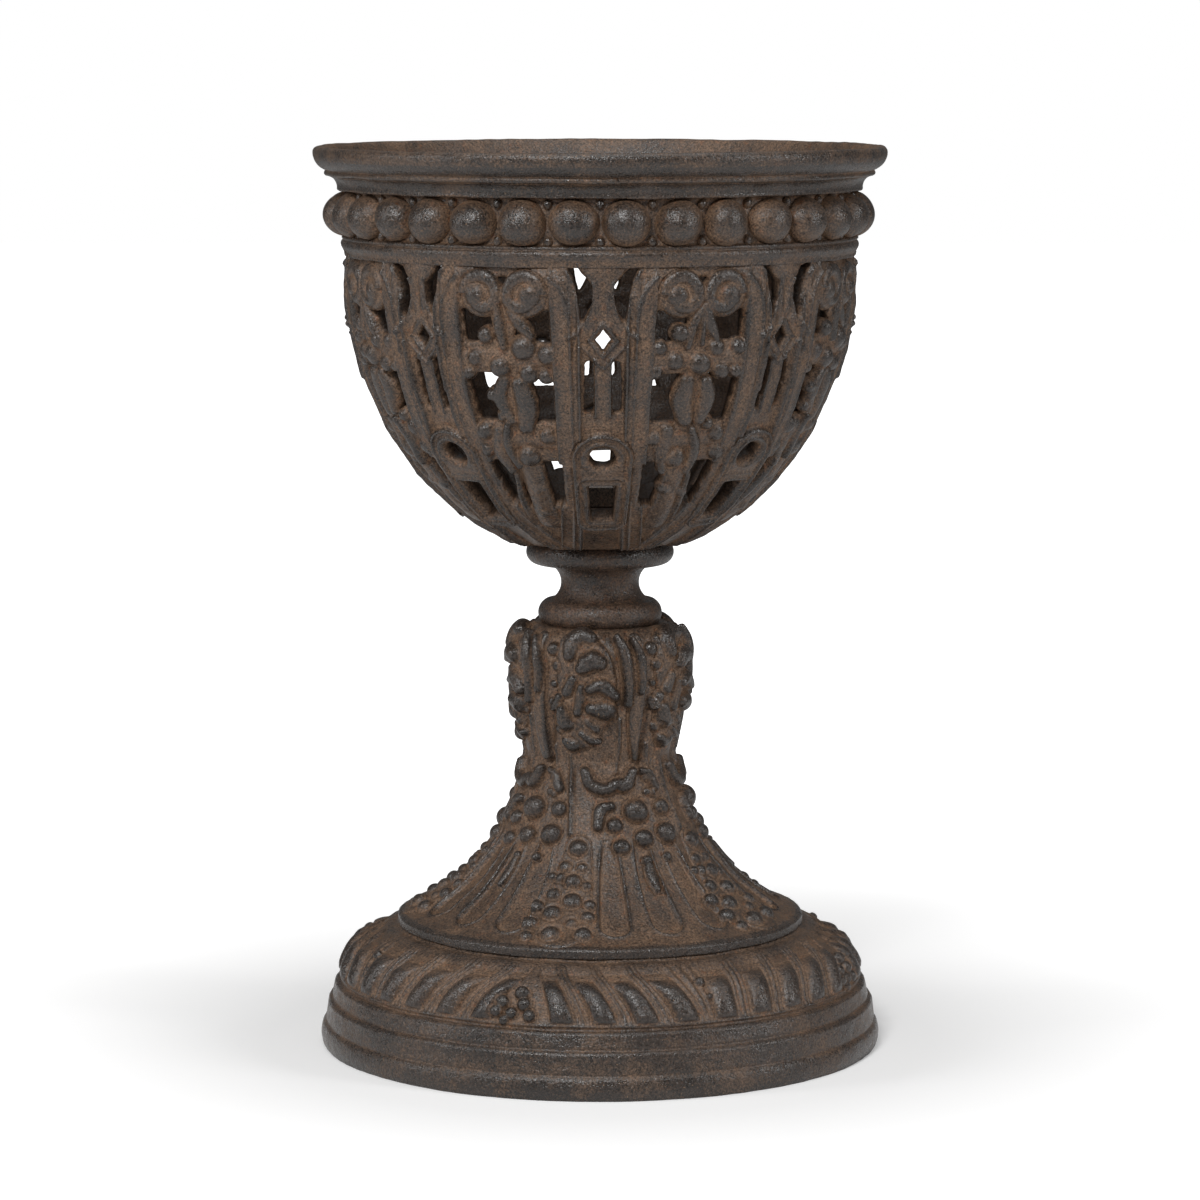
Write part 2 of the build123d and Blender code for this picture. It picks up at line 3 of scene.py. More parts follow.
import bpy
import numpy as np
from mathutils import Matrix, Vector


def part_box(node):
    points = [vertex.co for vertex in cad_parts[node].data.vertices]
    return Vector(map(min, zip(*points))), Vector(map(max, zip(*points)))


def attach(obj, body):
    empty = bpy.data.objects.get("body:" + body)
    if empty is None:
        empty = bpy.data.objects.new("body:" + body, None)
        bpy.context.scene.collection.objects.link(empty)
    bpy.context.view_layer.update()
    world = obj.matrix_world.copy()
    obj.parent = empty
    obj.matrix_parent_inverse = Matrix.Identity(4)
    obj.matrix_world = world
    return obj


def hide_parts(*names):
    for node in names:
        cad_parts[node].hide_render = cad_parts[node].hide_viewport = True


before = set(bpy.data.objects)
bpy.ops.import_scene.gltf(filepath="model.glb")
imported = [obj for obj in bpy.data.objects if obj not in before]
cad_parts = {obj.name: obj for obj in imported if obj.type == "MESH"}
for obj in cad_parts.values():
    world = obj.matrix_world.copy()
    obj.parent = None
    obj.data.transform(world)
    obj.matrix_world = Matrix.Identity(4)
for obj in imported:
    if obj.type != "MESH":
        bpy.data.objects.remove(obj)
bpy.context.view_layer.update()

MM = 0.001

# ---- sizes from the CAD nodes, in mm


def node_box(node):
    """Lowest and highest corner of a CAD node, in millimetres."""
    low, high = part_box(node)
    return [value / MM for value in low], [value / MM for value in high]


foot_top = node_box("foot")[1][2]
stem_top = node_box("stem")[1][2]
bowl_seat = node_box("bowl")[0][2]
lip_radius = node_box("bowl")[1][0]
ledge_radius = node_box("stem")[1][1]
rod_radius = node_box("tie_rod")[1][0]
rod_clearance = 0.2
hole_radius = rod_radius + rod_clearance
far_away = 1e3


# ---- drawing height maps


def smooth_max(a, b, blend=0.5):
    """Larger of two heights, with a rounded join."""
    return 0.5 * (a + b + np.sqrt((a - b) ** 2 + blend**2)) - 0.25 * blend


def curve(points, steps=7):
    """Smooth line through given points, each with a half width as its last number."""
    p = np.array(points, float)
    p = np.vstack([2 * p[0] - p[1], p, 2 * p[-1] - p[-2]])
    t = np.linspace(0, 1, steps, endpoint=False)[:, None]
    runs = []
    for a, b, c, d in zip(p[:-3], p[1:-2], p[2:-1], p[3:]):
        runs.append(
            0.5
            * (
                2 * b
                + (c - a) * t
                + (2 * a - 5 * b + 4 * c - d) * t**2
                + (3 * b - a - 3 * c + d) * t**3
            )
        )
    return np.vstack(runs + [p[-2][None]])


def stroke(u, v, line):
    """Signed distance to a line of changing half width, and that from its middle over the width."""
    nearest = np.full(u.shape, far_away)
    ratio = np.full(u.shape, far_away)
    for (au, av, aw), (bu, bv, bw) in zip(line[:-1], line[1:]):
        du, dv = bu - au, bv - av
        length = max(du * du + dv * dv, 1e-9)
        t = np.clip(((u - au) * du + (v - av) * dv) / length, 0, 1)
        away = np.hypot(u - au - t * du, v - av - t * dv)
        width = aw + (bw - aw) * t
        closer = away - width < nearest
        nearest = np.where(closer, away - width, nearest)
        ratio = np.where(closer, away / np.maximum(width, 1e-6), ratio)
    return nearest, ratio


def polygon(u, v, points, rounding=0.0):
    """Signed distance to a closed outline, negative inside, with its corners rounded."""
    p = np.array(points, float)
    nearest = np.full(u.shape, far_away)
    inside = np.zeros(u.shape, bool)
    for (au, av), (bu, bv) in zip(p, np.roll(p, -1, axis=0)):
        du, dv = bu - au, bv - av
        t = np.clip(((u - au) * du + (v - av) * dv) / (du * du + dv * dv), 0, 1)
        nearest = np.minimum(nearest, np.hypot(u - au - t * du, v - av - t * dv))
        crosses = (av > v) != (bv > v)
        if abs(dv) > 1e-9:
            inside ^= crosses & (u < au + (v - av) * du / dv)
    return np.where(inside, -nearest, nearest) - rounding


def dome(ratio):
    """Half-round section from the distance over the half width."""
    return np.sqrt(np.clip(1 - ratio**2, 0, 1))


def soft_line(away, width):
    """Narrow rounded ridge or groove, 1 on its middle."""
    return np.exp(-((away / width) ** 2))


def blur(field, cells):
    """Box blur, three times, with the columns closed into a ring."""
    for _ in range(3):
        wide = np.concatenate([field[:, -cells:], field, field[:, :cells]], axis=1)
        sums = np.cumsum(np.pad(wide, ((0, 0), (1, 0))), axis=1)
        field = (sums[:, 2 * cells + 1 :] - sums[:, : -2 * cells - 1]) / (2 * cells + 1)
        tall = np.pad(field, ((cells, cells), (0, 0)), mode="edge")
        sums = np.cumsum(np.pad(tall, ((1, 0), (0, 0))), axis=0)
        field = (sums[2 * cells + 1 :] - sums[: -2 * cells - 1]) / (2 * cells + 1)
    return field


def ripple(theta, v, size, seed, waves=40, usual_radius=80):
    """Gentle unevenness of a sand casting, mostly from -1 to 1, that closes round the axis."""
    rng = np.random.default_rng(seed)
    field = np.zeros((len(v), len(theta)))
    turns = max(1, round(tau * usual_radius / size))
    for _ in range(waves):
        around = int(rng.integers(0, turns + 1))
        along = rng.normal() * tau / size
        phase = rng.uniform(0, tau)
        field += np.cos(around * theta[None, :] + along * v[:, None] + phase)
    return field / sqrt(waves)


# ---- meshes


def add_object(name, data):
    """New object in the scene."""
    made = bpy.data.objects.new(name, data)
    bpy.context.scene.collection.objects.link(made)
    return made


def new_piece(name, points, faces, replaced, values):
    """Iron piece from points in mm, arrays of equal-sided faces and its values at each point."""
    mesh = bpy.data.meshes.new(name)
    mesh.vertices.add(len(points))
    mesh.vertices.foreach_set("co", (np.asarray(points, float) * MM).ravel())
    corners = np.concatenate([f.ravel() for f in faces]).astype(np.int32)
    sides = np.concatenate([np.full(len(f), f.shape[1]) for f in faces])
    starts = np.concatenate([[0], np.cumsum(sides)[:-1]]).astype(np.int32)
    mesh.loops.add(len(corners))
    mesh.loops.foreach_set("vertex_index", corners)
    mesh.polygons.add(len(sides))
    mesh.polygons.foreach_set("loop_start", starts)
    mesh.update(calc_edges=True)
    mesh.validate()
    mesh.shade_smooth()
    for key, field in values.items():
        layer = mesh.attributes.new(key, "FLOAT", "POINT")
        layer.data.foreach_set("value", np.asarray(field, np.float32).ravel())
    mesh.materials.append(cast_iron)
    piece = add_object(name, mesh)
    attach(piece, "root")
    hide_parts(replaced)


def ring_quads(rows, columns, closed_rows=False):
    """Faces of a grid that is closed round the axis."""
    i = np.arange(rows if closed_rows else rows - 1)[:, None]
    j = np.arange(columns)[None, :]
    a = i * columns + j
    b = i * columns + (j + 1) % columns
    c = ((i + 1) % rows) * columns + (j + 1) % columns
    d = ((i + 1) % rows) * columns + j
    return np.stack([a, b, c, d], axis=-1).reshape(-1, 4)


def turned(radius, level, theta):
    """Points of rows of radii and heights at azimuths counted from the front toward +X."""
    return np.stack([radius * np.sin(theta), -radius * np.cos(theta), level], axis=-1)


def cell_faces(inside):
    """Faces, rim edges, sources of the points and their count, for the inside of a ring grid."""
    rows, columns = inside.shape
    right = np.roll(inside, -1, axis=1)
    across = inside != right
    along = np.zeros_like(inside)
    along[:-1] = inside[:-1] != inside[1:]
    ids = np.full((3, rows, columns), -1)
    count = 0
    for layer, used in enumerate((inside, across, along)):
        number = int(used.sum())
        ids[layer][used] = count + np.arange(number)
        count += number
    case = inside[:-1] * 1 + right[:-1] * 2 + right[1:] * 4 + inside[1:] * 8
    faces = {}
    rims = []
    for kind in range(1, 16):
        i, j = np.nonzero(case == kind)
        if not len(i):
            continue
        k = (j + 1) % columns
        corner_ids = [ids[0][i, j], ids[0][i, k], ids[0][i + 1, k], ids[0][i + 1, j]]
        edge_ids = [ids[1][i, j], ids[2][i, k], ids[1][i + 1, j], ids[2][i, j]]
        loop = []
        for corner in range(4):
            here = kind >> corner & 1
            after = kind >> (corner + 1) % 4 & 1
            if here:
                loop.append((corner_ids[corner], False))
            if here != after:
                loop.append((edge_ids[corner], bool(here)))
        faces.setdefault(len(loop), []).append(np.stack([p for p, _ in loop], axis=-1))
        # The rim runs from each cut that leaves the inside to the cut that comes back to it
        for place, (p, leaves) in enumerate(loop):
            if leaves:
                rims.append(np.stack([p, loop[(place + 1) % len(loop)][0]], axis=-1))
    faces = [np.vstack(f) for f in faces.values()]
    return faces, np.vstack(rims), (inside, across, along), count


def cut_points(field, solid, sources):
    """Values of a grid at its inside corners and where the rim cuts its edges."""
    inside, across, along = sources
    right = np.roll(solid, -1, axis=1)
    t_across = solid / np.where(solid == right, 1, solid - right)
    t_along = np.zeros_like(solid)
    t_along[:-1] = solid[:-1] / np.where(solid[:-1] == solid[1:], 1, solid[:-1] - solid[1:])
    if field.ndim == 3:
        t_across, t_along = t_across[..., None], t_along[..., None]
    below = np.roll(field, -1, axis=0)
    beside = np.roll(field, -1, axis=1)
    mixed_across = field + (beside - field) * t_across
    mixed_along = field + (below - field) * t_along
    return np.concatenate([field[inside], mixed_across[across], mixed_along[along]])


# ---- materials


def node(tree, kind, **settings):
    """Shader node with its named inputs, each a socket or a value, and settings filled in."""
    made = tree.nodes.new("ShaderNode" + kind)
    for key, value in settings.items():
        if isinstance(value, bpy.types.NodeSocket):
            tree.links.new(value, made.inputs[key])
        elif key in made.inputs:
            made.inputs[key].default_value = value
        else:
            setattr(made, key, value)
    return made


def empty_tree(owner):
    """Node tree of a material or world, without nodes."""
    owner.use_nodes = True
    owner.node_tree.nodes.clear()
    return owner.node_tree


def fill_inputs(tree, made, values):
    """Sockets or values put into a node's inputs by number, for inputs that share a name."""
    for index, value in values.items():
        if isinstance(value, bpy.types.NodeSocket):
            tree.links.new(value, made.inputs[index])
        else:
            made.inputs[index].default_value = value


def blend_colour(tree, factor, first, second):
    """Mix of two colours, each a socket or a plain colour."""
    mix = node(tree, "Mix", data_type="RGBA", blend_type="MIX")
    fill_inputs(tree, mix, {0: factor, 6: first, 7: second})
    return mix.outputs[2]


def scaled(tree, value, low, high, to_low, to_high):
    """Value carried from one range to another, kept within it."""
    ends = {"From Min": low, "From Max": high, "To Min": to_low, "To Max": to_high}
    return node(tree, "MapRange", Value=value, **ends).outputs[0]


def maths(tree, operation, first, second):
    """Arithmetic on sockets and numbers."""
    made = node(tree, "Math", operation=operation)
    fill_inputs(tree, made, {0: first, 1: second})
    return made.outputs[0]


def noise(tree, vector, size_mm, detail, roughness):
    """Noise with a grain of a size in millimetres."""
    settings = {"Scale": 1 / (size_mm * MM), "Detail": detail, "Roughness": roughness}
    return node(tree, "TexNoise", Vector=vector, **settings).outputs["Fac"]


def srgb(red, green, blue):
    """Linear colour from 0-255 screen values."""
    def linear(value):
        value /= 255
        return value / 12.92 if value <= 0.04045 else ((value + 0.055) / 1.055) ** 2.4

    return (linear(red), linear(green), linear(blue), 1.0)


# Noise in the iron: size of its grain in mm, detail and roughness
noises = {
    "specks": (0.7, 4.0, 0.8),
    "grain": (0.8, 2.0, 0.6),
    "pale": (0.9, 1.0, 0.6),
    "fine": (1.6, 3.0, 0.7),
    "flecks": (2.6, 3.0, 0.75),
    "patches": (14.0, 5.0, 0.65),
    "clouds": (45.0, 3.0, 0.5),
}
pale_speck = srgb(150, 120, 92)
# Painted shade: near-black brown laid over the inside faces of the bowl, standing for the shade
# inside it
painted_inside_shade = srgb(22, 16, 13)
worn_roughness, dusty_roughness = 0.27, 0.56
worn_coat, coat_roughness = 0.35, 0.2


def iron_material(name, bare, worn, dust, rust, dust_reach, grain_depth, dust_and_inside_shade=True):
    """Old sand-cast iron: dark worn high places, brown dust in the hollows, flecks of rust.

    If the mesh's values are used, they say where the hollows are and which inside faces get painted
    shade; else clouds of noise place the dust.
    """
    material = bpy.data.materials.new(name)
    tree = empty_tree(material)
    place = node(tree, "TexCoord").outputs["Object"]
    field = {key: noise(tree, place, *look) for key, look in noises.items()}
    fine, grain, clouds = field["fine"], field["grain"], field["clouds"]
    if dust_and_inside_shade:
        hollow = node(tree, "Attribute", attribute_name="hollow").outputs["Fac"]
        inside = node(tree, "Attribute", attribute_name="inside").outputs["Fac"]
    else:
        hollow = scaled(tree, clouds, 0.35, 0.65, 0.2, 0.6)
    spotted = maths(tree, "ADD", hollow, scaled(tree, field["patches"], 0.3, 0.7, -0.28, 0.28))
    spotted = maths(tree, "ADD", spotted, scaled(tree, grain, 0.3, 0.7, -0.2, 0.2))
    dusted = scaled(tree, spotted, 0.5 - dust_reach, 0.5 + dust_reach, 0.0, 1.0)
    metal = blend_colour(tree, scaled(tree, clouds, 0.4, 0.62, 0.0, 1.0), bare, worn)
    metal = blend_colour(tree, scaled(tree, grain, 0.35, 0.68, 0.0, 0.55), metal, worn)
    colour = blend_colour(tree, dusted, metal, dust)
    flecks = scaled(tree, field["flecks"], 0.56, 0.7, 0.0, 1.0)
    rusty = maths(tree, "MULTIPLY", flecks, scaled(tree, hollow, 0.35, 0.8, 0.1, 0.8))
    colour = blend_colour(tree, rusty, colour, rust)
    specks = scaled(tree, field["specks"], 0.36, 0.64, 0.1, 2.1)
    speckled = node(tree, "VectorMath", operation="SCALE", Scale=specks)
    tree.links.new(colour, speckled.inputs[0])
    pale = scaled(tree, field["pale"], 0.7, 0.78, 0.0, 0.6)
    colour = blend_colour(tree, pale, speckled.outputs[0], pale_speck)
    rough = scaled(tree, dusted, 0.0, 1.0, worn_roughness, dusty_roughness)
    rough = maths(tree, "ADD", rough, scaled(tree, fine, 0.3, 0.7, -0.08, 0.1))
    surface = maths(tree, "MULTIPLY", fine, 0.65)
    surface = maths(tree, "ADD", surface, maths(tree, "MULTIPLY", grain, 0.35))
    bump = node(
        tree, "Bump", Strength=1.0, Distance=grain_depth * MM, Height=surface
    ).outputs["Normal"]
    looks = {
        "Roughness": rough,
        "Normal": bump,
        "Coat Normal": bump,
        "Coat Weight": scaled(tree, dusted, 0.0, 0.9, worn_coat, 0.0),
        "Coat Roughness": coat_roughness,
    }
    # Painted shade: the inside faces are darkened toward near-black and their reflections weakened,
    # as if in the bowl's shade
    if dust_and_inside_shade:
        colour = blend_colour(tree, inside, colour, painted_inside_shade)
        looks["Specular IOR Level"] = scaled(tree, inside, 0.0, 0.8, 0.5, 0.1)
    looks["Base Color"] = colour
    shader = node(tree, "BsdfPrincipled", Metallic=0.0, IOR=1.5, **looks)
    node(tree, "OutputMaterial", Surface=shader.outputs[0])
    return material


cast_iron = iron_material(
    "cast_iron",
    bare=srgb(38, 33, 30),
    worn=srgb(56, 47, 41),
    dust=srgb(104, 82, 64),
    rust=srgb(116, 74, 45),
    dust_reach=0.34,
    grain_depth=0.42,
)
collar_iron = iron_material(
    "collar_iron",
    bare=srgb(34, 29, 26),
    worn=srgb(48, 40, 35),
    dust=srgb(84, 64, 49),
    rust=srgb(104, 62, 38),
    dust_reach=0.24,
    grain_depth=0.5,
    dust_and_inside_shade=False,
)
steel = iron_material(
    "dark_steel",
    bare=srgb(58, 52, 48),
    worn=srgb(82, 74, 68),
    dust=srgb(88, 70, 56),
    rust=srgb(110, 66, 40),
    dust_reach=0.3,
    grain_depth=0.12,
    dust_and_inside_shade=False,
)
cad_looks = {"neck_collar": collar_iron, "bowl_nut": steel, "bowl_washer": steel}
cad_looks |= {"tie_rod": steel, "bridge_bar": steel, "bridge_nut": steel, "bridge_washer": steel}
for name, material in cad_looks.items():
    cad_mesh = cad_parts[name].data
    cad_mesh.materials.clear()
    cad_mesh.materials.append(material)


hollow_reach = 2.0


def hollow_values(rise, cells, depth):
    """0 on high places and 1 in the hollows of a height map, to place the dust."""
    lower = blur(rise, cells) - rise
    return np.clip(0.5 + lower / depth, 0, 1)


# ---- bowl: openwork wall

columns = 1440
theta = np.arange(columns) * tau / columns
panel_count = 8
panel_turn = radians(0.7)
panel_angle = tau / panel_count
panel_columns = columns // panel_count
panel_overlap = 1.1448
tile_panels = 2
tile_columns = panel_columns * tile_panels

wall_radius = 88.2
wall_depth = 104.5
wall_centre = 100.0
wall_thickness = 4.2
wall_top = 103.4
floor_level = 8.5
boss_level = 10.5
boss_radius = 15.0
wall_rows = 330
flat_rows = 24

start_angle = asin(wall_centre / wall_depth)
end_angle = -asin((wall_top - wall_centre) / wall_depth)
bend = np.linspace(start_angle, end_angle, wall_rows)
wall_r = wall_radius * np.cos(bend)
wall_z = wall_centre - wall_depth * np.sin(bend)
wall_v = np.concatenate([[0], np.cumsum(np.hypot(np.diff(wall_r), np.diff(wall_z)))])
wall_n = np.stack([np.cos(bend) / wall_radius, -np.sin(bend) / wall_depth], axis=-1)
wall_n /= np.linalg.norm(wall_n, axis=1)[:, None]
inner_r = (wall_radius - wall_thickness) * np.cos(bend)
inner_z = np.maximum(
    wall_centre - (wall_depth - wall_thickness) * np.sin(bend), floor_level
)


def at(points):
    """Listed points: their height above the seat becomes the distance along the wall."""
    return [(p[0], float(np.interp(p[1], wall_z, wall_v)), *p[2:]) for p in points]


def bar_edge(v, low, high):
    """Offset of a bar's edge from the panel's middle, from its foot to its head."""
    return np.interp(v, [p[1] for p in at([low, high])], [low[0], high[0]])


class Panel:
    """Height map and opening distance of one panel of the wall, in mm from its middle."""

    def __init__(self, u, v):
        self.u, self.v = u, v
        self.rise = np.zeros(u.shape)
        self.open = np.full(u.shape, far_away)
        self.fill = np.full(u.shape, far_away)

    def cut(self, points, rounding=0.6, both=False):
        shape = [(p[0], p[1]) for p in at(points)]
        u = np.abs(self.u) if both else self.u
        self.open = np.minimum(self.open, polygon(u, self.v, shape, rounding))

    def ball(self, across, level, radius, sink=0.15):
        ((cu, cv),) = at([(across, level)])
        ratio = np.hypot(self.u - cu, self.v - cv) / radius
        height = radius * dome(ratio) - sink * radius
        self.rise = np.where(ratio < 1.02, smooth_max(self.rise, height, 0.35), self.rise)
        self.fill = np.minimum(self.fill, (ratio - 1) * radius)

    def leaf(self, points, up, both=False, blend=0.5):
        u = np.abs(self.u) if both else self.u
        away, ratio = stroke(u, self.v, curve(at(points)))
        height = smooth_max(self.rise, up * dome(ratio), blend)
        self.rise = np.where(ratio < 1.05, height, self.rise)
        self.fill = np.minimum(self.fill, away)

    def ridge(self, points, up, both=False):
        u = np.abs(self.u) if both else self.u
        _, ratio = stroke(u, self.v, curve(at(points)))
        self.rise = self.rise + up * np.exp(-np.clip(ratio, 0, 6) ** 2)


def volute(panel, across, level, radius, ball_radius):
    """Scroll that curls over from the head of a bar and ends in a ball."""
    ((cu, cv),) = at([(across, level)])
    u, v = np.abs(panel.u) - cu, panel.v - cv
    away = np.hypot(u, v)
    turn = np.mod(np.arctan2(v, -u), tau)
    roll_width = radius * 0.29
    spiral = radius - roll_width - (radius - roll_width - ball_radius * 0.55) * np.clip(
        (turn - 3.4) / 2.8, 0, 1
    )
    body = 1.5 * dome(np.clip(away / radius, 0, 1) ** 3)
    roll = 1.0 + 2.0 * dome(np.clip(np.abs(away - spiral) / roll_width, 0, 1))
    roll = np.where(np.abs(away - spiral) < roll_width, roll, 0)
    height = np.where(away < radius, np.maximum(body, roll), 0)
    ball = np.hypot(u + 0.22 * radius, v + 0.06 * radius) / ball_radius
    height = np.where(ball < 1, np.maximum(height, 0.6 + 3.2 * dome(ball)), height)
    height = smooth_max(panel.rise * 0.4, height, 0.4)
    panel.rise = np.where(away < radius * 1.02, height, panel.rise)
    panel.fill = np.minimum(panel.fill, away - radius)


def tracery(u, v):
    """Tracery panel: bars with scrolls, ogee arms, diamond, slots and an arch with a hole."""
    panel = Panel(u, v)
    side = np.abs(u)
    inner = bar_edge(v, (6.2, 22.0), (7.6, 93.0))
    outer = bar_edge(v, (14.2, 22.0), (18.8, 93.0))
    q = (side - inner) / (outer - inner)
    bar = 1.5 + 1.0 * soft_line(q - 0.08, 0.07) + 0.55 * soft_line(q - 0.9, 0.07)
    bar += 0.8 * soft_line(q - 0.36, 0.055)
    edge = np.clip(np.minimum(q, 1 - q) * 14, 0, 1)
    panel.rise = np.where((q > 0) & (q < 1), bar * np.sqrt(edge), 0.35)
    panel.rise = np.where(q > 1.0, 0.0, panel.rise)
    head = [(12.4, 80, 5.2), (13.2, 90, 5.4), (16.4, 96.8, 4.9), (22, 98.6, 3.6), (27, 97.6, 3.0)]
    panel.leaf(head, 2.1, both=True, blend=0.8)
    for line in (
        [(7.6, 60, 0.6), (8.0, 88, 0.6), (9.2, 95.5, 0.6), (12.4, 100.6, 0.6)],
        [(10.8, 72, 0.7), (11.6, 86, 0.7), (13.8, 93.6, 0.7), (18, 98.6, 0.7)],
    ):
        panel.ridge(line, 0.9, both=True)
    volute(panel, 26.6, 92.8, 8.3, 4.2)

    # Pendant, neck and ogee arms
    panel.leaf([(0, 103, 8.4), (0, 99.4, 6)], 1.7, blend=0.3)
    panel.leaf([(0, 97, 3.5), (0, 88, 3.5)], 1.2, blend=0.2)
    panel.ridge([(0, 96.4, 1.1), (0, 84, 1.3)], -0.9)
    ogee = [(3.6, 96.6, 0.55), (3.7, 90, 0.55), (5, 85.4, 0.6), (8, 80.8, 0.7), (11.6, 78.4, 0.9)]
    panel.ridge(ogee, 1.1, both=True)
    panel.leaf([(5.4, 83.2, 2.4), (8.6, 79.4, 3), (12.4, 76.8, 3.2)], 1.2, both=True)
    panel.ridge([(7.4, 75.4, 0.55), (3.8, 71.6, 0.55), (0, 67.6, 0.55)], 1, both=True)
    panel.ridge([(5, 77.2, 0.5), (0, 71.4, 0.5)], 0.8, both=True)
    panel.ridge([(5, 77.2, 0.5), (0, 83.4, 0.5)], 0.8, both=True)

    # Middle bar between the slots
    panel.ridge([(2.6, 71, 0.5), (2.5, 51, 0.5)], 1, both=True)
    panel.ridge([(0, 66, 1), (0, 50, 1)], -0.5)

    # Arch with its rims, carried down to a foot with round corners
    arch_radius, arch_hole, corner = 10.8, 4.6, 5.0
    (_, foot_v), (_, arch_v) = at([(0, 11.0), (0, 36.6)])
    width = np.interp(v, [foot_v, arch_v], [8.6, 10.6])
    arch = np.hypot(side, np.maximum(v - arch_v, 0))
    boss = np.where(v > arch_v, arch - arch_radius, side - width)
    low = np.hypot(np.maximum(side - width + corner, 0), np.maximum(foot_v + corner - v, 0))
    low -= corner
    boss = np.where(v < foot_v + corner, np.maximum(low, foot_v - v), boss)
    panel.rise = np.where(boss < 0, 2.1 * np.sqrt(np.clip(-boss / 0.8, 0, 1)), panel.rise)
    panel.rise += 0.75 * soft_line(boss + 1.1, 0.6) * (boss < 0.5)
    panel.rise -= 0.55 * soft_line(boss + 2.4, 0.7) * (boss < 0)
    hole = np.hypot(side, v - arch_v) - arch_hole
    panel.rise += 0.6 * soft_line(hole - 2.1, 0.6) * (v > arch_v - 3) * (boss < 0)
    panel.rise -= 0.5 * soft_line(hole, 0.8)
    window = polygon(side, v, at([(0, 27.0), (4.6, 27.0), (3.6, 14.0), (0, 14.0)]), 0.2)
    panel.rise += 0.6 * soft_line(window - 0.9, 0.5) * (boss < 0)
    panel.rise += 0.5 * soft_line(window - 3.4, 0.5) * (boss < 0) * (v < arch_v - 4)
    panel.fill = np.minimum(panel.fill, boss)

    # Openings
    panel.cut(
        [
            (11.4, 101.8), (9.6, 98), (8.4, 92), (7, 84.6),
            (5.9, 86.4), (4.4, 89.6), (4.1, 92.6), (4.2, 95.6), (7.4, 99.4), (9.2, 101.8),
        ],
        rounding=0.5,
        both=True,
    )
    panel.cut([(0, 73.8), (2.6, 77.2), (0, 80.6), (-2.6, 77.2)], rounding=0.25)
    slot, _ = stroke(side, v, curve(at([(4.8, 53.3, 1.6), (4.7, 61, 1.75), (4.6, 68.6, 1.6)])))
    for shape in (slot, hole, window):
        panel.open = np.minimum(panel.open, shape)
    return panel


vine_balls = {
    "left": [
        (-6.8, 78.6, 3.3), (6.5, 74.6, 4.7), (-2.3, 68.2, 4.3), (-11.3, 71, 3.3),
        (14.6, 72.4, 3.8), (7.6, 65.7, 3.6), (-12.2, 45.4, 3.6), (10.8, 44.1, 3.3),
        (2.6, 37.1, 4.4), (-6.6, 58.2, 2.6), (-4.2, 51, 2.4), (2.4, 25.6, 3), (0.8, 16.4, 3),
        (13.4, 65, 3), (-14.6, 65.6, 2.6), (-13.2, 38.4, 2.8),
    ],
    "right": [
        (-7.8, 79.6, 3.6), (-14.4, 74.6, 2.9), (-8.6, 70.2, 3.4), (0.1, 69.2, 4.4),
        (5.8, 74.5, 3.4), (14.6, 74.5, 3.1), (8.5, 66.6, 3.5), (-15.2, 66.5, 2.9),
        (-12.2, 43.4, 3.1), (-2.8, 36.3, 4.2), (10.8, 44.7, 3.5), (12.8, 38.2, 3.6),
        (-2.8, 25.4, 2.9), (3.8, 24, 2.9), (6.6, 48.2, 2.6), (14.4, 66.2, 2.8),
    ],
}
vine_leaves = {
    "left": [
        ([(-1.6, 88, 1.6), (-1.2, 82, 2.3), (-0.2, 75, 1.6)], 2.6),
        ([(2.6, 87, 1.4), (6.2, 82.5, 2.6), (9.4, 78.6, 1.6)], 2.2),
        ([(-1.6, 63.5, 2.4), (-4, 57.5, 3), (-0.6, 50, 2.2)], 2.4),
        ([(4.2, 62, 3.4), (5.2, 55, 4), (4, 48, 3.2)], 3),
        ([(-15.5, 70, 3.4), (0, 70.5, 3.4), (15.5, 72, 3.2)], 1.2),
        ([(-2.4, 48.5, 1.4), (-3.8, 42, 2.1), (-1.4, 34, 1.3)], 3.4),
        ([(-6.8, 45, 2.6), (-7.6, 38, 3), (-5.2, 31.5, 1.8)], 2.2),
        ([(-15, 42, 3.2), (0, 42.5, 3.2), (15, 42.5, 3.2)], 1.2),
        ([(2.2, 33, 4), (1.6, 22, 4), (1, 12, 4.6)], 2),
        ([(-4.4, 30, 1.3), (-5.4, 20, 1.6), (-5, 11, 1.3)], 1.7),
    ],
    "right": [
        ([(-0.6, 88, 1.4), (-3.4, 82, 2), (-4.8, 75, 1.4)], 2.4),
        ([(0.8, 89, 1.5), (3.2, 82.5, 2.4), (5.4, 77.6, 1.6)], 2.6),
        ([(0.2, 86, 1), (0.2, 76, 1.2)], 2.2),
        ([(-3.6, 63, 3.2), (-4.4, 57, 4), (-2.4, 50, 3)], 2.8),
        ([(3.4, 63, 2.6), (4.6, 57.5, 3.4), (2.8, 50, 2.2)], 2.8),
        ([(-15.5, 70, 3.4), (0, 70.5, 3.4), (15.5, 71, 3.2)], 1.2),
        ([(0.6, 47, 1.6), (3.6, 40, 2.4), (2.6, 32, 1.5)], 3.2),
        ([(-7.6, 46, 2.6), (-7.6, 39, 3), (-6, 32, 1.8)], 2.2),
        ([(-15, 42, 3.2), (0, 42.5, 3.2), (15, 42.5, 3.2)], 1.2),
        ([(-1, 33, 4.2), (-0.6, 22, 4), (0, 12, 4.6)], 2),
        ([(4.4, 30, 1.3), (5, 20, 1.6), (5, 11, 1.3)], 1.7),
    ],
}


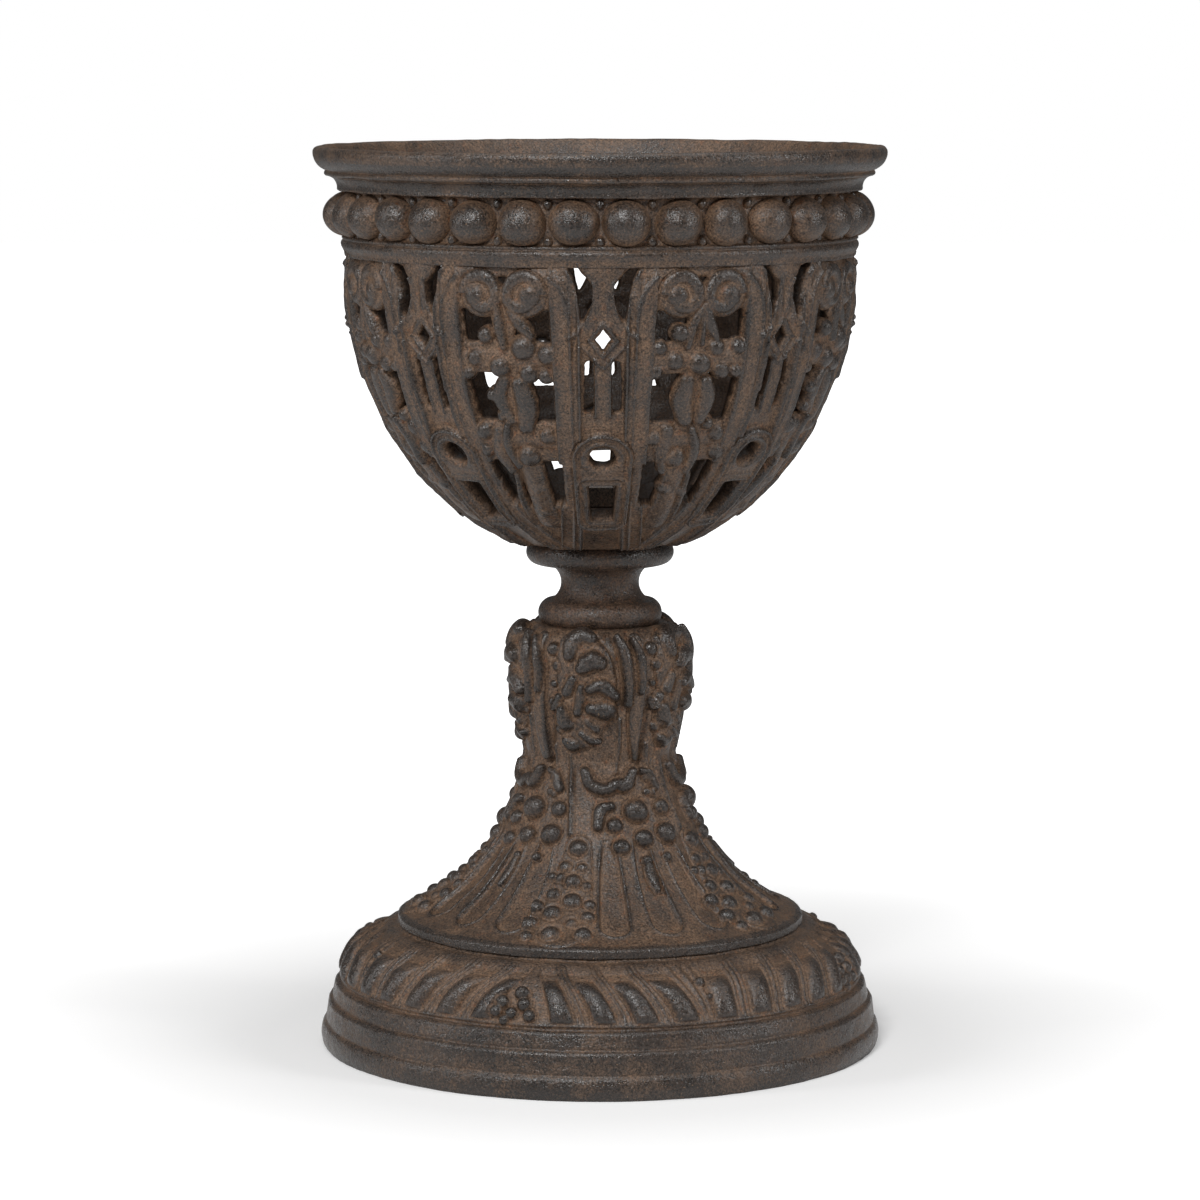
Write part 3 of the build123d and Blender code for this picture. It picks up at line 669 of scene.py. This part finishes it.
def vine(u, v, kind):
    """Vine panel: berries, leaves and a stalk between six openings."""
    panel = Panel(u, v)
    for points, up in vine_leaves[kind]:
        panel.leaf(points, up)
    for across, level, radius in vine_balls[kind]:
        panel.ball(across, level, radius)
    for flip in (-1, 1):
        for shape in (
            [(4.0, 78.0), (15.2, 76.5), (15.4, 86.6), (9.0, 85.4), (5.6, 84.6)],
            [(3.0, 49.0), (13.4, 49.0), (15.2, 64.8), (4.0, 64.8)],
            [(3.6, 18.4), (9.4, 19.6), (12.6, 33.8), (4.0, 33.8)],
        ):
            panel.cut([(flip * p[0], p[1]) for p in shape], rounding=0.7)
    panel.cut([(0, 93.6), (1.0, 97.8), (-1.0, 97.8)], rounding=0.5)
    return panel


# Two tracery and two vine panels side by side, repeated round the wall
tile_rise = np.zeros((wall_rows, tile_columns))
tile_tracery = np.full(tile_rise.shape, far_away)
tile_vine = np.full(tile_rise.shape, far_away)
tile_fill = np.full(tile_rise.shape, far_away)
reach = round(panel_overlap * panel_columns / 2)
for index, kind in enumerate(("right", "left")):
    for turn, opened in ((0.5, tile_tracery), (1.0, tile_vine)):
        middle = round((index + turn) * panel_columns)
        picked = np.arange(middle - reach, middle + reach + 1)
        u = wall_r[:, None] * ((picked - middle) * tau / columns)[None, :]
        v = np.broadcast_to(wall_v[:, None], u.shape)
        panel = tracery(u, v) if opened is tile_tracery else vine(u, v, kind)
        wrapped = picked % tile_columns
        tile_rise[:, wrapped] = smooth_max(tile_rise[:, wrapped], panel.rise, 0.3)
        opened[:, wrapped] = np.minimum(opened[:, wrapped], panel.open)
        tile_fill[:, wrapped] = np.minimum(tile_fill[:, wrapped], panel.fill)



def rounded(solid, radius):
    """How far the face drops toward an opening, whose distance is negative in the iron."""
    near = np.clip(-solid / radius, 0, 1)
    return radius * (1 - np.sqrt(np.clip(1 - (1 - near) ** 2, 0, 1)))


edge_round = 1.3
inner_round = 1.9
tile_solid = -np.minimum(tile_tracery, np.maximum(tile_vine, -tile_fill))
tile_rise = tile_rise - 0.8 * rounded(tile_solid, edge_round)
tile_hollow = hollow_values(tile_rise, 5, 2.2)

tiles = (1, panel_count // tile_panels)
solid = np.tile(tile_solid, tiles)
hollow = np.tile(tile_hollow, tiles)
wall_azimuth = theta - panel_angle / 2 + panel_turn
uneven = 0.16 * ripple(wall_azimuth, wall_v, 22, seed=3)
uneven += 0.07 * ripple(wall_azimuth, wall_v, 6, seed=4)
rise = np.tile(tile_rise, tiles) + uneven
solid = solid + 0.12 * ripple(wall_azimuth, wall_v, 5, seed=5)

# Gap in the middle bar of the back panel, through which light reaches the front diamond
gap_half, gap_foot, gap_head = 5.0, 59.0, 70.0
gap = [(-gap_half, gap_foot), (-gap_half, gap_head), (gap_half, gap_head), (gap_half, gap_foot)]
back_turn = np.mod(wall_azimuth - panel_turn, tau) - pi
back_u = wall_r[:, None] * back_turn[None, :]
back_v = np.broadcast_to(wall_v[:, None], back_u.shape)
solid = np.maximum(solid, -polygon(back_u, back_v, at(gap), 0.6))

# The wall is whole at its head and foot
whole_foot, whole_head, deep_inside = 10.0, 102.2, -5.0
solid[(wall_z < whole_foot) | (wall_z > whole_head)] = deep_inside

outer_r = wall_r[:, None] + rise * wall_n[:, :1]
outer_z = wall_z[:, None] + rise * wall_n[:, 1:]
inner_lift = rounded(solid, inner_round)
inner_lift += 0.25 * ripple(wall_azimuth, wall_v, 12, seed=6)
sheet_r = inner_r[:, None] + inner_lift * wall_n[:, :1]
sheet_z = inner_z[:, None] + inner_lift * wall_n[:, 1:]

# Flat underside and the floor with its boss, down to the rod hole
under_r = np.linspace(hole_radius, wall_r[0], flat_rows, endpoint=False)[:, None]
floor_r = np.linspace(hole_radius, inner_r[0], flat_rows, endpoint=False)[:, None]
full = np.ones((1, columns))
outer_r = np.vstack([under_r * full, outer_r])
outer_z = np.vstack([0 * under_r * full, np.maximum(outer_z, 0.0)])
sheet_r = np.vstack([floor_r * full, sheet_r])
sheet_z = np.vstack([np.where(floor_r < boss_radius, boss_level, floor_level) * full, sheet_z])
solid = np.vstack([np.full((flat_rows, columns), deep_inside), solid])
hollow = np.vstack([np.full((flat_rows, columns), 0.6), hollow])

outside = turned(outer_r, bowl_seat + outer_z, wall_azimuth[None, :] + 0 * outer_r)
inside_sheet = turned(sheet_r, bowl_seat + sheet_z, wall_azimuth[None, :] + 0 * outer_r)
faces, rims, sources, count = cell_faces(solid < 0)
outside_points, inside_points, outside_hollow = (
    cut_points(field, solid, sources) for field in (outside, inside_sheet, hollow)
)
ids = np.full(solid.shape, -1)
ids[solid < 0] = np.arange(int((solid < 0).sum()))
a, b = rims[:, 1], rims[:, 0]
wall_faces = faces + [f[:, ::-1] + count for f in faces]
wall_faces.append(np.stack([a, b, b + count, a + count], axis=-1))
for row, way in ((0, -1), (-1, 1)):
    a, b = ids[row], np.roll(ids[row], -1)
    wall_faces.append(np.stack([a, b, b + count, a + count], axis=-1)[:, ::way])
new_piece(
    "bowl_openwork",
    np.vstack([outside_points, inside_points]),
    wall_faces,
    "bowl",
    {
        "hollow": np.concatenate([outside_hollow, np.full(count, 0.62)]),
        # Painted shade: the inner sheet of the wall is marked to take the dark inside colour, for
        # the shade inside the bowl
        "inside": np.concatenate([np.zeros(count), np.full(count, 0.85)]),
    },
)


# ---- turned profiles


def arc(start, through, end, steps=16):
    """Points of a round stretch of a profile."""
    (ax, ay), (bx, by), (cx, cy) = start, through, end
    aa, bb, cc = ax**2 + ay**2, bx**2 + by**2, cx**2 + cy**2
    d = 2 * (ax * (by - cy) + bx * (cy - ay) + cx * (ay - by))
    ux = (aa * (by - cy) + bb * (cy - ay) + cc * (ay - by)) / d
    uy = (aa * (cx - bx) + bb * (ax - cx) + cc * (bx - ax)) / d
    radius = sqrt((ax - ux) ** 2 + (ay - uy) ** 2)
    a0, a1, a2 = (atan2(y - uy, x - ux) for x, y in (start, through, end))
    sweep = (a2 - a0) % tau
    if (a1 - a0) % tau > sweep:
        sweep -= tau
    angles = a0 + sweep * np.linspace(0, 1, steps)
    return [(ux + radius * cos(a), uy + radius * sin(a)) for a in angles]


def even_profile(points, spacing):
    """Closed profile at an even spacing: radii, heights, smoothed outward normals, distances.

    Its outside goes upward, so that the normals point outward.
    """
    p = np.array(list(points) + [points[0]], float)
    steps = np.hypot(*np.diff(p, axis=0).T)
    p = p[np.concatenate([[True], steps > 1e-6])]
    s = np.concatenate([[0], np.cumsum(np.hypot(*np.diff(p, axis=0).T))])
    number = max(4, int(s[-1] / spacing))
    t = np.linspace(0, s[-1], number, endpoint=False)
    r, z = np.interp(t, s, p[:, 0]), np.interp(t, s, p[:, 1])
    dr, dz = np.roll(r, -1) - np.roll(r, 1), np.roll(z, -1) - np.roll(z, 1)
    n = np.stack([dz, -dr], axis=-1)
    for _ in range(2):
        n = (np.roll(n, 1, axis=0) + 2 * n + np.roll(n, -1, axis=0)) / 4
    n /= np.linalg.norm(n, axis=1)[:, None]
    return r, z, n, t


def turned_piece(
    name, replaced, points, spacing, count, seed, darker_levels, relief=None, hollow_depth=0.8
):
    """Turned casting with a height map on its profile, and dust in what lies lower than around it.

    The darker levels are heights in mm from which and up to which the dust colour is cut back, so
    the band is darker, and by how much.
    """
    r, z, n, t = even_profile(points, spacing)
    angle = np.arange(count) * tau / count
    rise = relief(angle, r, z, t) if relief else np.zeros((len(r), count))
    cells = round(hollow_reach / spacing)
    shown = np.broadcast_to(r[:, None], rise.shape) + rise * n[:, :1]
    bands = blur(shown, cells) - shown
    hollow = np.clip(0.5 + (blur(rise, cells) - rise) / hollow_depth + 0.3 * bands, 0, 1)
    for low, high, darkening in darker_levels:
        hollow[(z > low) & (z < high)] -= darkening
    rise = rise + 0.12 * ripple(angle, t, 24, seed) + 0.05 * ripple(angle, t, 6, seed + 1)
    radius = r[:, None] + rise * n[:, :1]
    level = z[:, None] + rise * n[:, 1:]
    points = turned(radius, level, angle[None, :] + 0 * radius)
    faces = ring_quads(len(r), count, closed_rows=True)
    new_piece(name, points.reshape(-1, 3), [faces], replaced, {"hollow": hollow})


# ---- bowl: rim, beads and lip

frieze_foot = 108.2
frieze_head = 125.0
frieze_radius = 89.0
throat_radius = 84.0
mouth_radius = 97.2
rim_profile = (
    [(84.6, 101.6), (89.9, 101.6), (90.1, 103), (90.9, 104.6)]
    + arc((90.9, 104.6), (91.3, 105.8), (90.9, 107), 6)
    + [(90.3, 107.5)]
    + arc((90.3, 107.5), (90.9, 108.1), (90.4, 108.8), 6)
    + [(89.4, 109.2), (frieze_radius, 109.8), (frieze_radius, 123.8), (89.6, 124.6), (92.2, 124.8)]
    + arc((92.4, 125.2), (93, 128), (95.4, 129.7), 12)
    + arc((95.8, 129.8), (96.9, 130.7), (96.4, 131.7), 8)
    + arc((97, 131.9), (99.8, 134.1), (lip_radius, 137), 12)
    + arc((lip_radius, 137.6), (lip_radius - 0.5, 139.3), (lip_radius - 1.8, 140), 8)
    + [(98.6, 140), (97.9, 139.6)]
    + arc((mouth_radius, 139), (91, 129), (throat_radius, 116.6), 24)
    + [(throat_radius, 101.6)]
)
# Painted shade: the cove under the lip and the lower face of the lip are painted darker, as the
# shade under the overhanging lip; the band at the foot of the frieze is a little darker too
rim_darker_bands = [(125.4, 129.4, 0.42), (132.0, 135.0, 0.3), (104.0, 109.0, 0.12)]
turned_piece(
    "bowl_rim",
    "bowl",
    [(r, bowl_seat + z) for r, z in rim_profile],
    spacing=0.42,
    count=columns,
    seed=11,
    darker_levels=[(bowl_seat + low, bowl_seat + high, darkening) for low, high, darkening in rim_darker_bands],
)

bead_count = 32
bead_level = bowl_seat + (frieze_foot + frieze_head) / 2
bead_half = (8.3, 7.8, 8.2)
bead_sink = 0.2
pellet_half = (1.7, 1.9, 1.9)
pellet_lift = 6.2


def ball_mesh(around, along):
    """Unit ball with its poles on the last axis, as points and quads."""
    a = np.linspace(0, pi, along)
    b = np.arange(around) * tau / around
    x = np.sin(a)[:, None] * np.cos(b)[None, :]
    y = np.sin(a)[:, None] * np.sin(b)[None, :]
    z = np.cos(a)[:, None] + 0 * b[None, :]
    return np.stack([x, y, z], axis=-1).reshape(-1, 3), ring_quads(along, around)


def scatter_balls(name, places, half_sizes, around, along, seed, unevenness=0.018):
    """Beads on the bowl: each a slightly uneven ball, turned to face out from the axis."""
    rng = np.random.default_rng(seed)
    unit, quads = ball_mesh(around, along)
    points, faces, hollow = [], [], []
    for azimuth, radius, level in places:
        bumps = np.ones(len(unit))
        for _ in range(5):
            way = rng.normal(size=3)
            way /= np.linalg.norm(way)
            bumps += unevenness * np.sin(3.2 * unit @ way + rng.uniform(0, tau))
        shape = unit * bumps[:, None] * np.array(half_sizes)
        out = np.array([sin(azimuth), -cos(azimuth), 0])
        across = np.array([cos(azimuth), sin(azimuth), 0])
        up = np.array([0, 0, 1.0])
        centre = out * radius + up * level
        faces.append(quads + len(unit) * len(points))
        points.append(centre + shape[:, :1] * across + shape[:, 1:2] * up + shape[:, 2:] * out)
        hollow.append(np.clip(0.95 - 0.85 * unit[:, 2], 0, 1))
    values = {"hollow": np.concatenate(hollow)}
    new_piece(name, np.vstack(points), [np.vstack(faces)], "bowl", values)


bead_places = []
pellet_places = []
for index in range(bead_count):
    azimuth = (index + 0.5) * tau / bead_count
    bead_places.append((azimuth, frieze_radius - bead_sink, bead_level))
    between = index * tau / bead_count
    for side in (-1, 1):
        pellet_places.append((between, frieze_radius, bead_level + side * pellet_lift))
scatter_balls("bowl_beads", bead_places, bead_half, around=64, along=40, seed=21)
scatter_balls("bowl_pellets", pellet_places, pellet_half, around=20, along=14, seed=22)


# ---- relief on turned castings


class Ring:
    """Height map on a turned surface, drawn at heights above the floor and azimuths in degrees.

    The azimuths count from middle, the azimuth of the ornament that is being drawn.
    """

    def __init__(self, angle, r, z, t, outer):
        self.angle, self.r, self.t = angle, r, t
        self.outer = outer
        self.middle = 0.0
        order = np.argsort(z[outer])
        self.levels = z[outer][order]
        self.along = t[outer][order]
        self.radii = r[outer][order]
        self.rise = np.zeros((len(r), len(angle)))

    def window(self, points, margin):
        """Rows and columns near a line, with the line and the grid in mm round its start."""
        start = radians(self.middle + points[0][0])
        line = []
        for azimuth, level, *rest in points:
            radius = float(np.interp(level, self.levels, self.radii))
            away = float(np.interp(level, self.levels, self.along))
            line.append((radius * (radians(self.middle + azimuth) - start), away, *rest))
        low = min(p[1] for p in line) - margin
        high = max(p[1] for p in line) + margin
        rows = np.nonzero(self.outer & (self.t > low) & (self.t < high))[0]
        wide = (max(abs(p[0]) for p in line) + margin) / self.r[rows].min()
        turn = np.mod(self.angle - start + pi, tau) - pi
        columns_near = np.nonzero(np.abs(turn) < wide)[0]
        u = self.r[rows][:, None] * turn[columns_near][None, :]
        v = np.broadcast_to(self.t[rows][:, None], u.shape)
        return np.ix_(rows, columns_near), line, u, v

    def ball(self, azimuth, level, radius, up=None, sink=0.2):
        place, line, u, v = self.window([(azimuth, level)], radius * 1.3)
        ratio = np.hypot(u - line[0][0], v - line[0][1]) / radius
        height = (up or radius) * (dome(ratio) - sink)
        ground = self.rise[place] - 0.5 * soft_line(np.clip(ratio - 1, 0, 9), 0.16)
        self.rise[place] = np.where(ratio < 1, smooth_max(ground, height, 0.7), ground)

    def leaf(self, points, up, flat=1.0):
        widest = max(p[2] for p in points)
        place, line, u, v = self.window(points, widest * 1.6 + 1)
        away, ratio = stroke(u, v, curve(line))
        height = up * dome(np.clip(ratio, 0, 1) ** flat)
        ground = self.rise[place] - 0.35 * soft_line(np.clip(away, 0, 9), 0.5)
        self.rise[place] = np.where(ratio < 1, smooth_max(ground, height, 0.7), ground)

    def ridge(self, points, up):
        widest = max(p[2] for p in points)
        place, line, u, v = self.window(points, widest * 2.5)
        _, ratio = stroke(u, v, curve(line))
        self.rise[place] += up * np.exp(-np.clip(ratio, 0, 5) ** 2)

    def tongue(self, points, depth, rim):
        widest = max(p[2] for p in points)
        place, line, u, v = self.window(points, widest + 2.5)
        away, _ = stroke(u, v, curve(line))
        fade = np.clip((line[0][1] - v) / 6, 0, 1) if line[0][1] > line[-1][1] else 1
        self.rise[place] -= depth * np.clip(0.3 - away, 0, 0.9) / 0.9 * fade
        self.rise[place] += rim * soft_line(away - 0.4, 0.55) * fade


# ---- stem: leaves, berries, tongues

fold_count = 5
fold = 360 / fold_count
motif_azimuth = -11.0
leaf_clusters = [
    ([(-9, 143, 2.2), (-8, 146.4, 2.8), (-2, 148.6, 2.6), (5, 147.6, 1.9)], 3.6),
    ([(0, 138.8, 2.4), (5, 141.2, 3.1), (11, 140.6, 2.2)], 4),
    ([(-7, 134.6, 1.7), (-11, 130, 2.1)], 2.8),
    ([(-1, 132, 1.4), (-2, 127.4, 1.9), (-4, 123, 1.6)], 3),
    ([(-15, 124, 1.9), (-12.5, 119, 2.9)], 3.6),
    ([(5, 131.4, 1.9), (12, 132.6, 2.7), (20, 129, 1.9)], 3.8),
    ([(6, 124.6, 2.4), (14, 124, 3.5)], 4),
    ([(3, 119.6, 1.4), (8, 117, 1.5)], 2.2),
    ([(-2, 115.4, 1.2), (5, 113, 1.5), (10, 112.6, 1.2)], 2.2),
    ([(-13, 112.6, 1.6), (-9, 111, 2.3)], 2.6),
    ([(23, 148, 1.1), (27, 144, 1.8), (29, 139, 1.9), (30, 132, 1.6), (29.6, 126, 1.4)], 3.2),
    ([(34, 147, 1.1), (38, 142, 1.7), (39.4, 136.6, 1.7), (38.6, 130, 1.3)], 3),
    ([(-21, 124.4, 1.6), (-17, 128, 1.5)], 2.4),
    (
        [(0, 101.4, 1.5), (4, 97, 1.9), (14, 95, 2.1), (23, 97, 2)]
        + [(29, 96.4, 2.4), (35, 101, 1.6)],
        2.6,
    ),
    ([(18, 89.4, 1.5), (11.6, 88, 1.9), (9.6, 82.4, 1.5)], 2.2),
    ([(44, 101, 1.2), (49, 99, 1.7), (53, 95, 1.6)], 1.8),
]
leaf_widening = 1.22
leaf_raising = 1.3
leaf_balls = [
    (-23, 144.6, 2.7), (-19.5, 138.8, 2.1), (-22, 132.4, 1.5), (-23, 126, 1.9), (-18, 116.6, 2.2),
    (18, 136.6, 1.8), (1, 144, 1.6), (20, 121.6, 1.7), (49, 93, 1.6), (46, 98.4, 1.5),
    (23, 76, 3.2), (37, 78.4, 3.6), (20, 83, 3.1), (-17, 88, 3.3), (-19, 79.4, 4.2),
    (35, 87.4, 4.8), (36, 71.4, 1.9), (48, 72, 1.9), (45.5, 93.6, 1.5),
]
cascade_balls = [
    (-1, 75.4, 3.6), (-6, 69.6, 2.4), (2.4, 69.4, 2.1), (-7, 66, 2.3), (-1, 65, 3.3),
    (-11.4, 66.4, 1.8), (5, 64, 2), (-8.4, 61, 2.7), (0, 59.2, 3.7), (7, 58.4, 2.3),
    (-13.6, 57.2, 2.9), (-6.4, 55.4, 3.6), (6.6, 54.8, 2.8), (-13, 52.4, 3.2), (1.4, 53, 2.4),
    (-4.4, 49.8, 4), (-12, 49.2, 2.6), (5.6, 50.2, 3.4),
]
tongue_offsets = (16.0, 34.0, 52.0)


def stem_relief(angle, r, z, t):
    """Five folds of leaves and berries on the shaft, over cascades and tongues on the skirt."""
    outer = (t > t[np.argmax(r)]) & (t < t[np.argmax(z > stem_top - 0.3)])
    ring = Ring(angle, r, z, t, outer)
    for index in range(fold_count):
        ring.middle = motif_azimuth + index * fold
        for turn in tongue_offsets:
            line = [(turn, 79, 2.2), (turn, 68, 3.7), (turn, 58, 4.8), (turn, 52.4, 5.3)]
            ring.tongue(line, 1.2, 0.5)

        # Flat beds of the leaves, and the grooves and edges between them
        ring.leaf([(-9, 146, 5), (0, 138, 10.5), (2, 126, 9.5), (-4, 116, 7)], 2.4, 2)
        ring.leaf([(37, 148, 2.2), (37.5, 132, 2.9), (36.5, 118, 2.6), (39, 106, 1.8)], 1.9, 3)
        ring.ridge([(-25, 122, 1.7), (-28, 113, 1.9), (-30, 104, 1.5)], -2.0)
        ring.ridge([(15.5, 119, 2.2), (17, 112, 2.4), (16, 104, 2.0)], -1.3)
        ring.ridge([(-11, 110, 1.0), (-9.4, 94, 1.1), (-6.4, 80, 1.0)], 1.5)
        ring.ridge([(-24, 110, 0.9), (-23, 100, 1.0), (-22, 93, 0.9)], 1.0)
        ring.ridge([(25, 120, 0.8), (25, 110, 0.8), (23, 101, 0.8)], 1.1)
        ring.leaf([(-1, 76, 4.4), (-1.4, 64, 7.0), (-2, 51, 9.6)], 0.9, 3)

        # Leaves and berries on them
        for points, up in leaf_clusters:
            wider = [(p[0], p[1], leaf_widening * p[2]) for p in points]
            ring.leaf(wider, leaf_raising * up)
        for berry in leaf_balls + cascade_balls:
            ring.ball(*berry)
        ring.leaf([(36, 69.6, 1.6), (36, 66.4, 2.0), (36, 62, 1.0)], 1.4)
    return ring.rise


stem_height = stem_top - foot_top
stem_profile = (
    [(57.8, -3), (61.8, -3), (61.8, 0), (ledge_radius, 0)]
    + [(ledge_radius, 2.7), (71.8, 3.4), (66, 5.6)]
    + arc((66, 5.6), (36.6, 32.6), (26.2, 61.6), 30)
    + arc((26.2, 61.6), (28.4, 76), (29.4, 94.5), 12)
    + arc((29.4, 94.5), (28.4, 102.6), (23.4, stem_height), 14)
    + [(hole_radius, stem_height), (hole_radius, 94.5), (25, 94.5)]
    + [(23.6, 76), (20.6, 61.6), (33.4, 29.4), (57.8, 3.4)]
)
turned_piece(
    "stem_casting",
    "stem",
    [(r, foot_top + z) for r, z in stem_profile],
    spacing=0.4,
    count=1200,
    seed=41,
    darker_levels=[(foot_top - 0.1, foot_top + 4.0, 0.22)],
    relief=stem_relief,
    hollow_depth=3.0,
)


# ---- foot: gadroons and stepped rings

# From the top outward and down, turned round so that the outside goes upward
foot_profile = (
    [(62, foot_top - 5), (62, foot_top), (72, foot_top), (73.2, foot_top - 0.9)]
    + arc((73.6, foot_top - 0.9), (86.2, 37.2), (93.6, 24.4), 30)
    + [(93, 23.7), (93.2, 23), (94.4, 22.7), (95.1, 22), (96.1, 17.8), (95.9, 17)]
    + [(96.2, 16.6), (97.2, 16.2), (97.8, 15.4), (98.6, 9.4), (98.3, 8.6), (98.9, 8)]
    + arc((99.5, 7.2), (100.1, 3.8), (99.3, 0), 10)
    + [(93.2, 0), (88.6, 24), (82, 33), (72.4, foot_top - 5)]
)[::-1]
gadroon_pitch = 9.0
gadroon_foot = 24.9
gadroon_head = foot_top - 1.2
foot_motif_azimuth = -17.0
foot_motif_half = 5.6
quarter = 90.0
# Degrees by which a gadroon's head leans, against degrees from the motif before it
lean_table = [
    (0, 0), (6, -4.6), (12, -6.6), (20, -7.4), (36, -7.4), (39, -6), (43, -0.6), (50, 1.4),
    (60, 4.4), (72, 7.6), (82, 8.4), (87, 4), (90, 0),
]
foot_motif = [
    (-0.5, 34.6, 2.7), (-4.6, 31.6, 2.5), (0.4, 31.2, 2.5), (-5.6, 28.6, 2.4), (-2.2, 28.2, 2.2),
    (1.8, 27.6, 2.3), (-3.6, 25.8, 1.9),
]


def gadroon_section(s, swell):
    """Section of one gadroon, with s from -1 to 1 over its pitch: swelling lobe, ridge and dart."""
    s = np.abs(s)
    lobe_half = 0.6
    lobe = 2.9 * dome(s / lobe_half) * swell
    ridge = 0.8 * soft_line(s - 0.74, 0.08)
    dart = 1.0 * soft_line(s - 1.0, 0.11)
    return np.where(s < lobe_half, lobe, 0) + ridge + dart - 1.5


def foot_relief(angle, r, z, t):
    """Gadroons that lean toward four leaf motifs on the dome."""
    outer = (t > t[np.argmax(r)]) & (t < t[np.argmax(z > foot_top - 0.3)])
    ring = Ring(angle, r, z, t, outer)
    base = np.arange(-90, 451, 0.25)
    lean = np.interp(np.mod(base - foot_motif_azimuth, quarter), *np.array(lean_table).T)
    degrees_round = np.degrees(angle)
    half_pitch = gadroon_pitch / 2
    for row in np.nonzero(outer & (z > gadroon_foot) & (z < gadroon_head))[0]:
        up = (z[row] - gadroon_foot) / (gadroon_head - gadroon_foot)
        leaning = np.maximum.accumulate(base + lean * up**1.7)
        source = np.interp(degrees_round, leaning, base)
        offset = np.mod(source - foot_motif_azimuth, quarter)
        s = (np.mod(offset + half_pitch, gadroon_pitch) - half_pitch) / half_pitch
        top = np.sqrt(np.clip((0.82 - up) / 0.22, 0, 1))
        swell = top * np.clip(1.05 - 1.1 * (up - 0.34) ** 2, 0, 1) * np.clip(up / 0.06, 0, 1)
        section = gadroon_section(s, swell)
        near_motif = np.minimum(offset, quarter - offset)
        keep = np.clip((near_motif - foot_motif_half) / 0.9, 0, 1)
        section = section * keep - 1.0 * (1 - keep)
        ends = np.sqrt(np.clip(up / 0.16, 0, 1)) * np.clip((1 - up) / 0.08, 0, 1)
        ring.rise[row] = section * ends
    for index in range(4):
        ring.middle = foot_motif_azimuth + index * quarter
        for berry in foot_motif:
            ring.ball(*berry, sink=0.3)
        ring.ball(40.6, 37.6, 1.7, up=1.1)
        ring.ball(41.8, 33.0, 1.1, up=0.9)
    return ring.rise


turned_piece(
    "foot_casting",
    "foot",
    foot_profile,
    spacing=0.42,
    count=columns,
    seed=31,
    # Darker toward the bottom: the rings and the foot of the dome get less of the dust colour
    darker_levels=[(-1.0, 23.6, 0.2), (24.6, 34.0, 0.08)],
    relief=foot_relief,
    hollow_depth=2.4,
)


# ---- floor, light and camera

# The floor glows for the camera alone, more with distance in metres, so its far part is white
floor_grey = 0.82
floor_half = 6.0
glow_near, glow_far = 0.2, 1.25
near_distance, far_distance = 0.12, 0.6
room_light = 0.11

floor_material = bpy.data.materials.new("floor")
tree = empty_tree(floor_material)
distance = node(tree, "VectorMath", operation="LENGTH")
tree.links.new(node(tree, "TexCoord").outputs["Object"], distance.inputs[0])
far = scaled(tree, distance.outputs["Value"], near_distance, far_distance, glow_near, glow_far)
camera_ray = node(tree, "LightPath").outputs["Is Camera Ray"]
seen = maths(tree, "MULTIPLY", camera_ray, far)
paper = node(tree, "BsdfDiffuse", Color=(floor_grey, floor_grey, floor_grey, 1))
glow = node(tree, "Emission", Color=(1, 1, 1, 1), Strength=seen)
both = node(tree, "AddShader")
fill_inputs(tree, both, {0: paper.outputs[0], 1: glow.outputs[0]})
node(tree, "OutputMaterial", Surface=both.outputs[0])

floor_mesh = bpy.data.meshes.new("floor")
corners = ((-1, -1), (1, -1), (1, 1), (-1, 1))
floor_corners = [(x * floor_half, y * floor_half, 0) for x, y in corners]
floor_mesh.from_pydata(floor_corners, [], [(0, 1, 2, 3)])
floor_mesh.materials.append(floor_material)
floor = add_object("floor", floor_mesh)

world = bpy.data.worlds.new("studio")
bpy.context.scene.world = world
tree = empty_tree(world)
camera_ray = node(tree, "LightPath").outputs["Is Camera Ray"]
strength = scaled(tree, camera_ray, 0, 1, room_light, 1.0)
background = node(tree, "Background", Color=(1, 1, 1, 1), Strength=strength)
node(tree, "OutputWorld", Surface=background.outputs[0])


def softbox(name, place, target, size, watts):
    """Large rectangular lamp aimed at a point, in metres."""
    lamp = bpy.data.lights.new(name, "AREA")
    lamp.shape = "RECTANGLE"
    lamp.size, lamp.size_y = size
    lamp.energy = watts
    holder = add_object(name, lamp)
    holder.location = place
    aim = Vector(target) - Vector(place)
    holder.rotation_euler = aim.to_track_quat("-Z", "Y").to_euler()


softbox("front", (-0.35, -1.1, 1.1), (0, 0, 0.16), (0.34, 0.26), 10.4)
softbox("left", (-1.2, -0.35, 0.6), (0, 0, 0.17), (0.2, 0.6), 3.5)
softbox("right", (1.15, -0.5, 0.65), (0, 0, 0.17), (0.2, 0.6), 4.5)
softbox("top", (0.05, -0.1, 1.35), (0, 0, 0.17), (1.3, 1.3), 6.6)

# Camera fitted to the outline in the photograph, in metres, radians and photograph pixels
camera_distance = 1.58085
camera_height = 0.36083
camera_pitch = 0.127098
focal_pixels = 4472.13
photo_pixels = 1200
sensor_width = 36.0
camera_data = bpy.data.cameras.new("camera")
camera_data.sensor_width = sensor_width
camera_data.lens = focal_pixels * sensor_width / photo_pixels
camera_data.clip_end = 50
camera = add_object("camera", camera_data)
camera.location = (0, -camera_distance, camera_height)
camera.rotation_euler = (pi / 2 - camera_pitch, 0, 0)
bpy.context.scene.camera = camera
bpy.context.scene.view_settings.view_transform = "Standard"
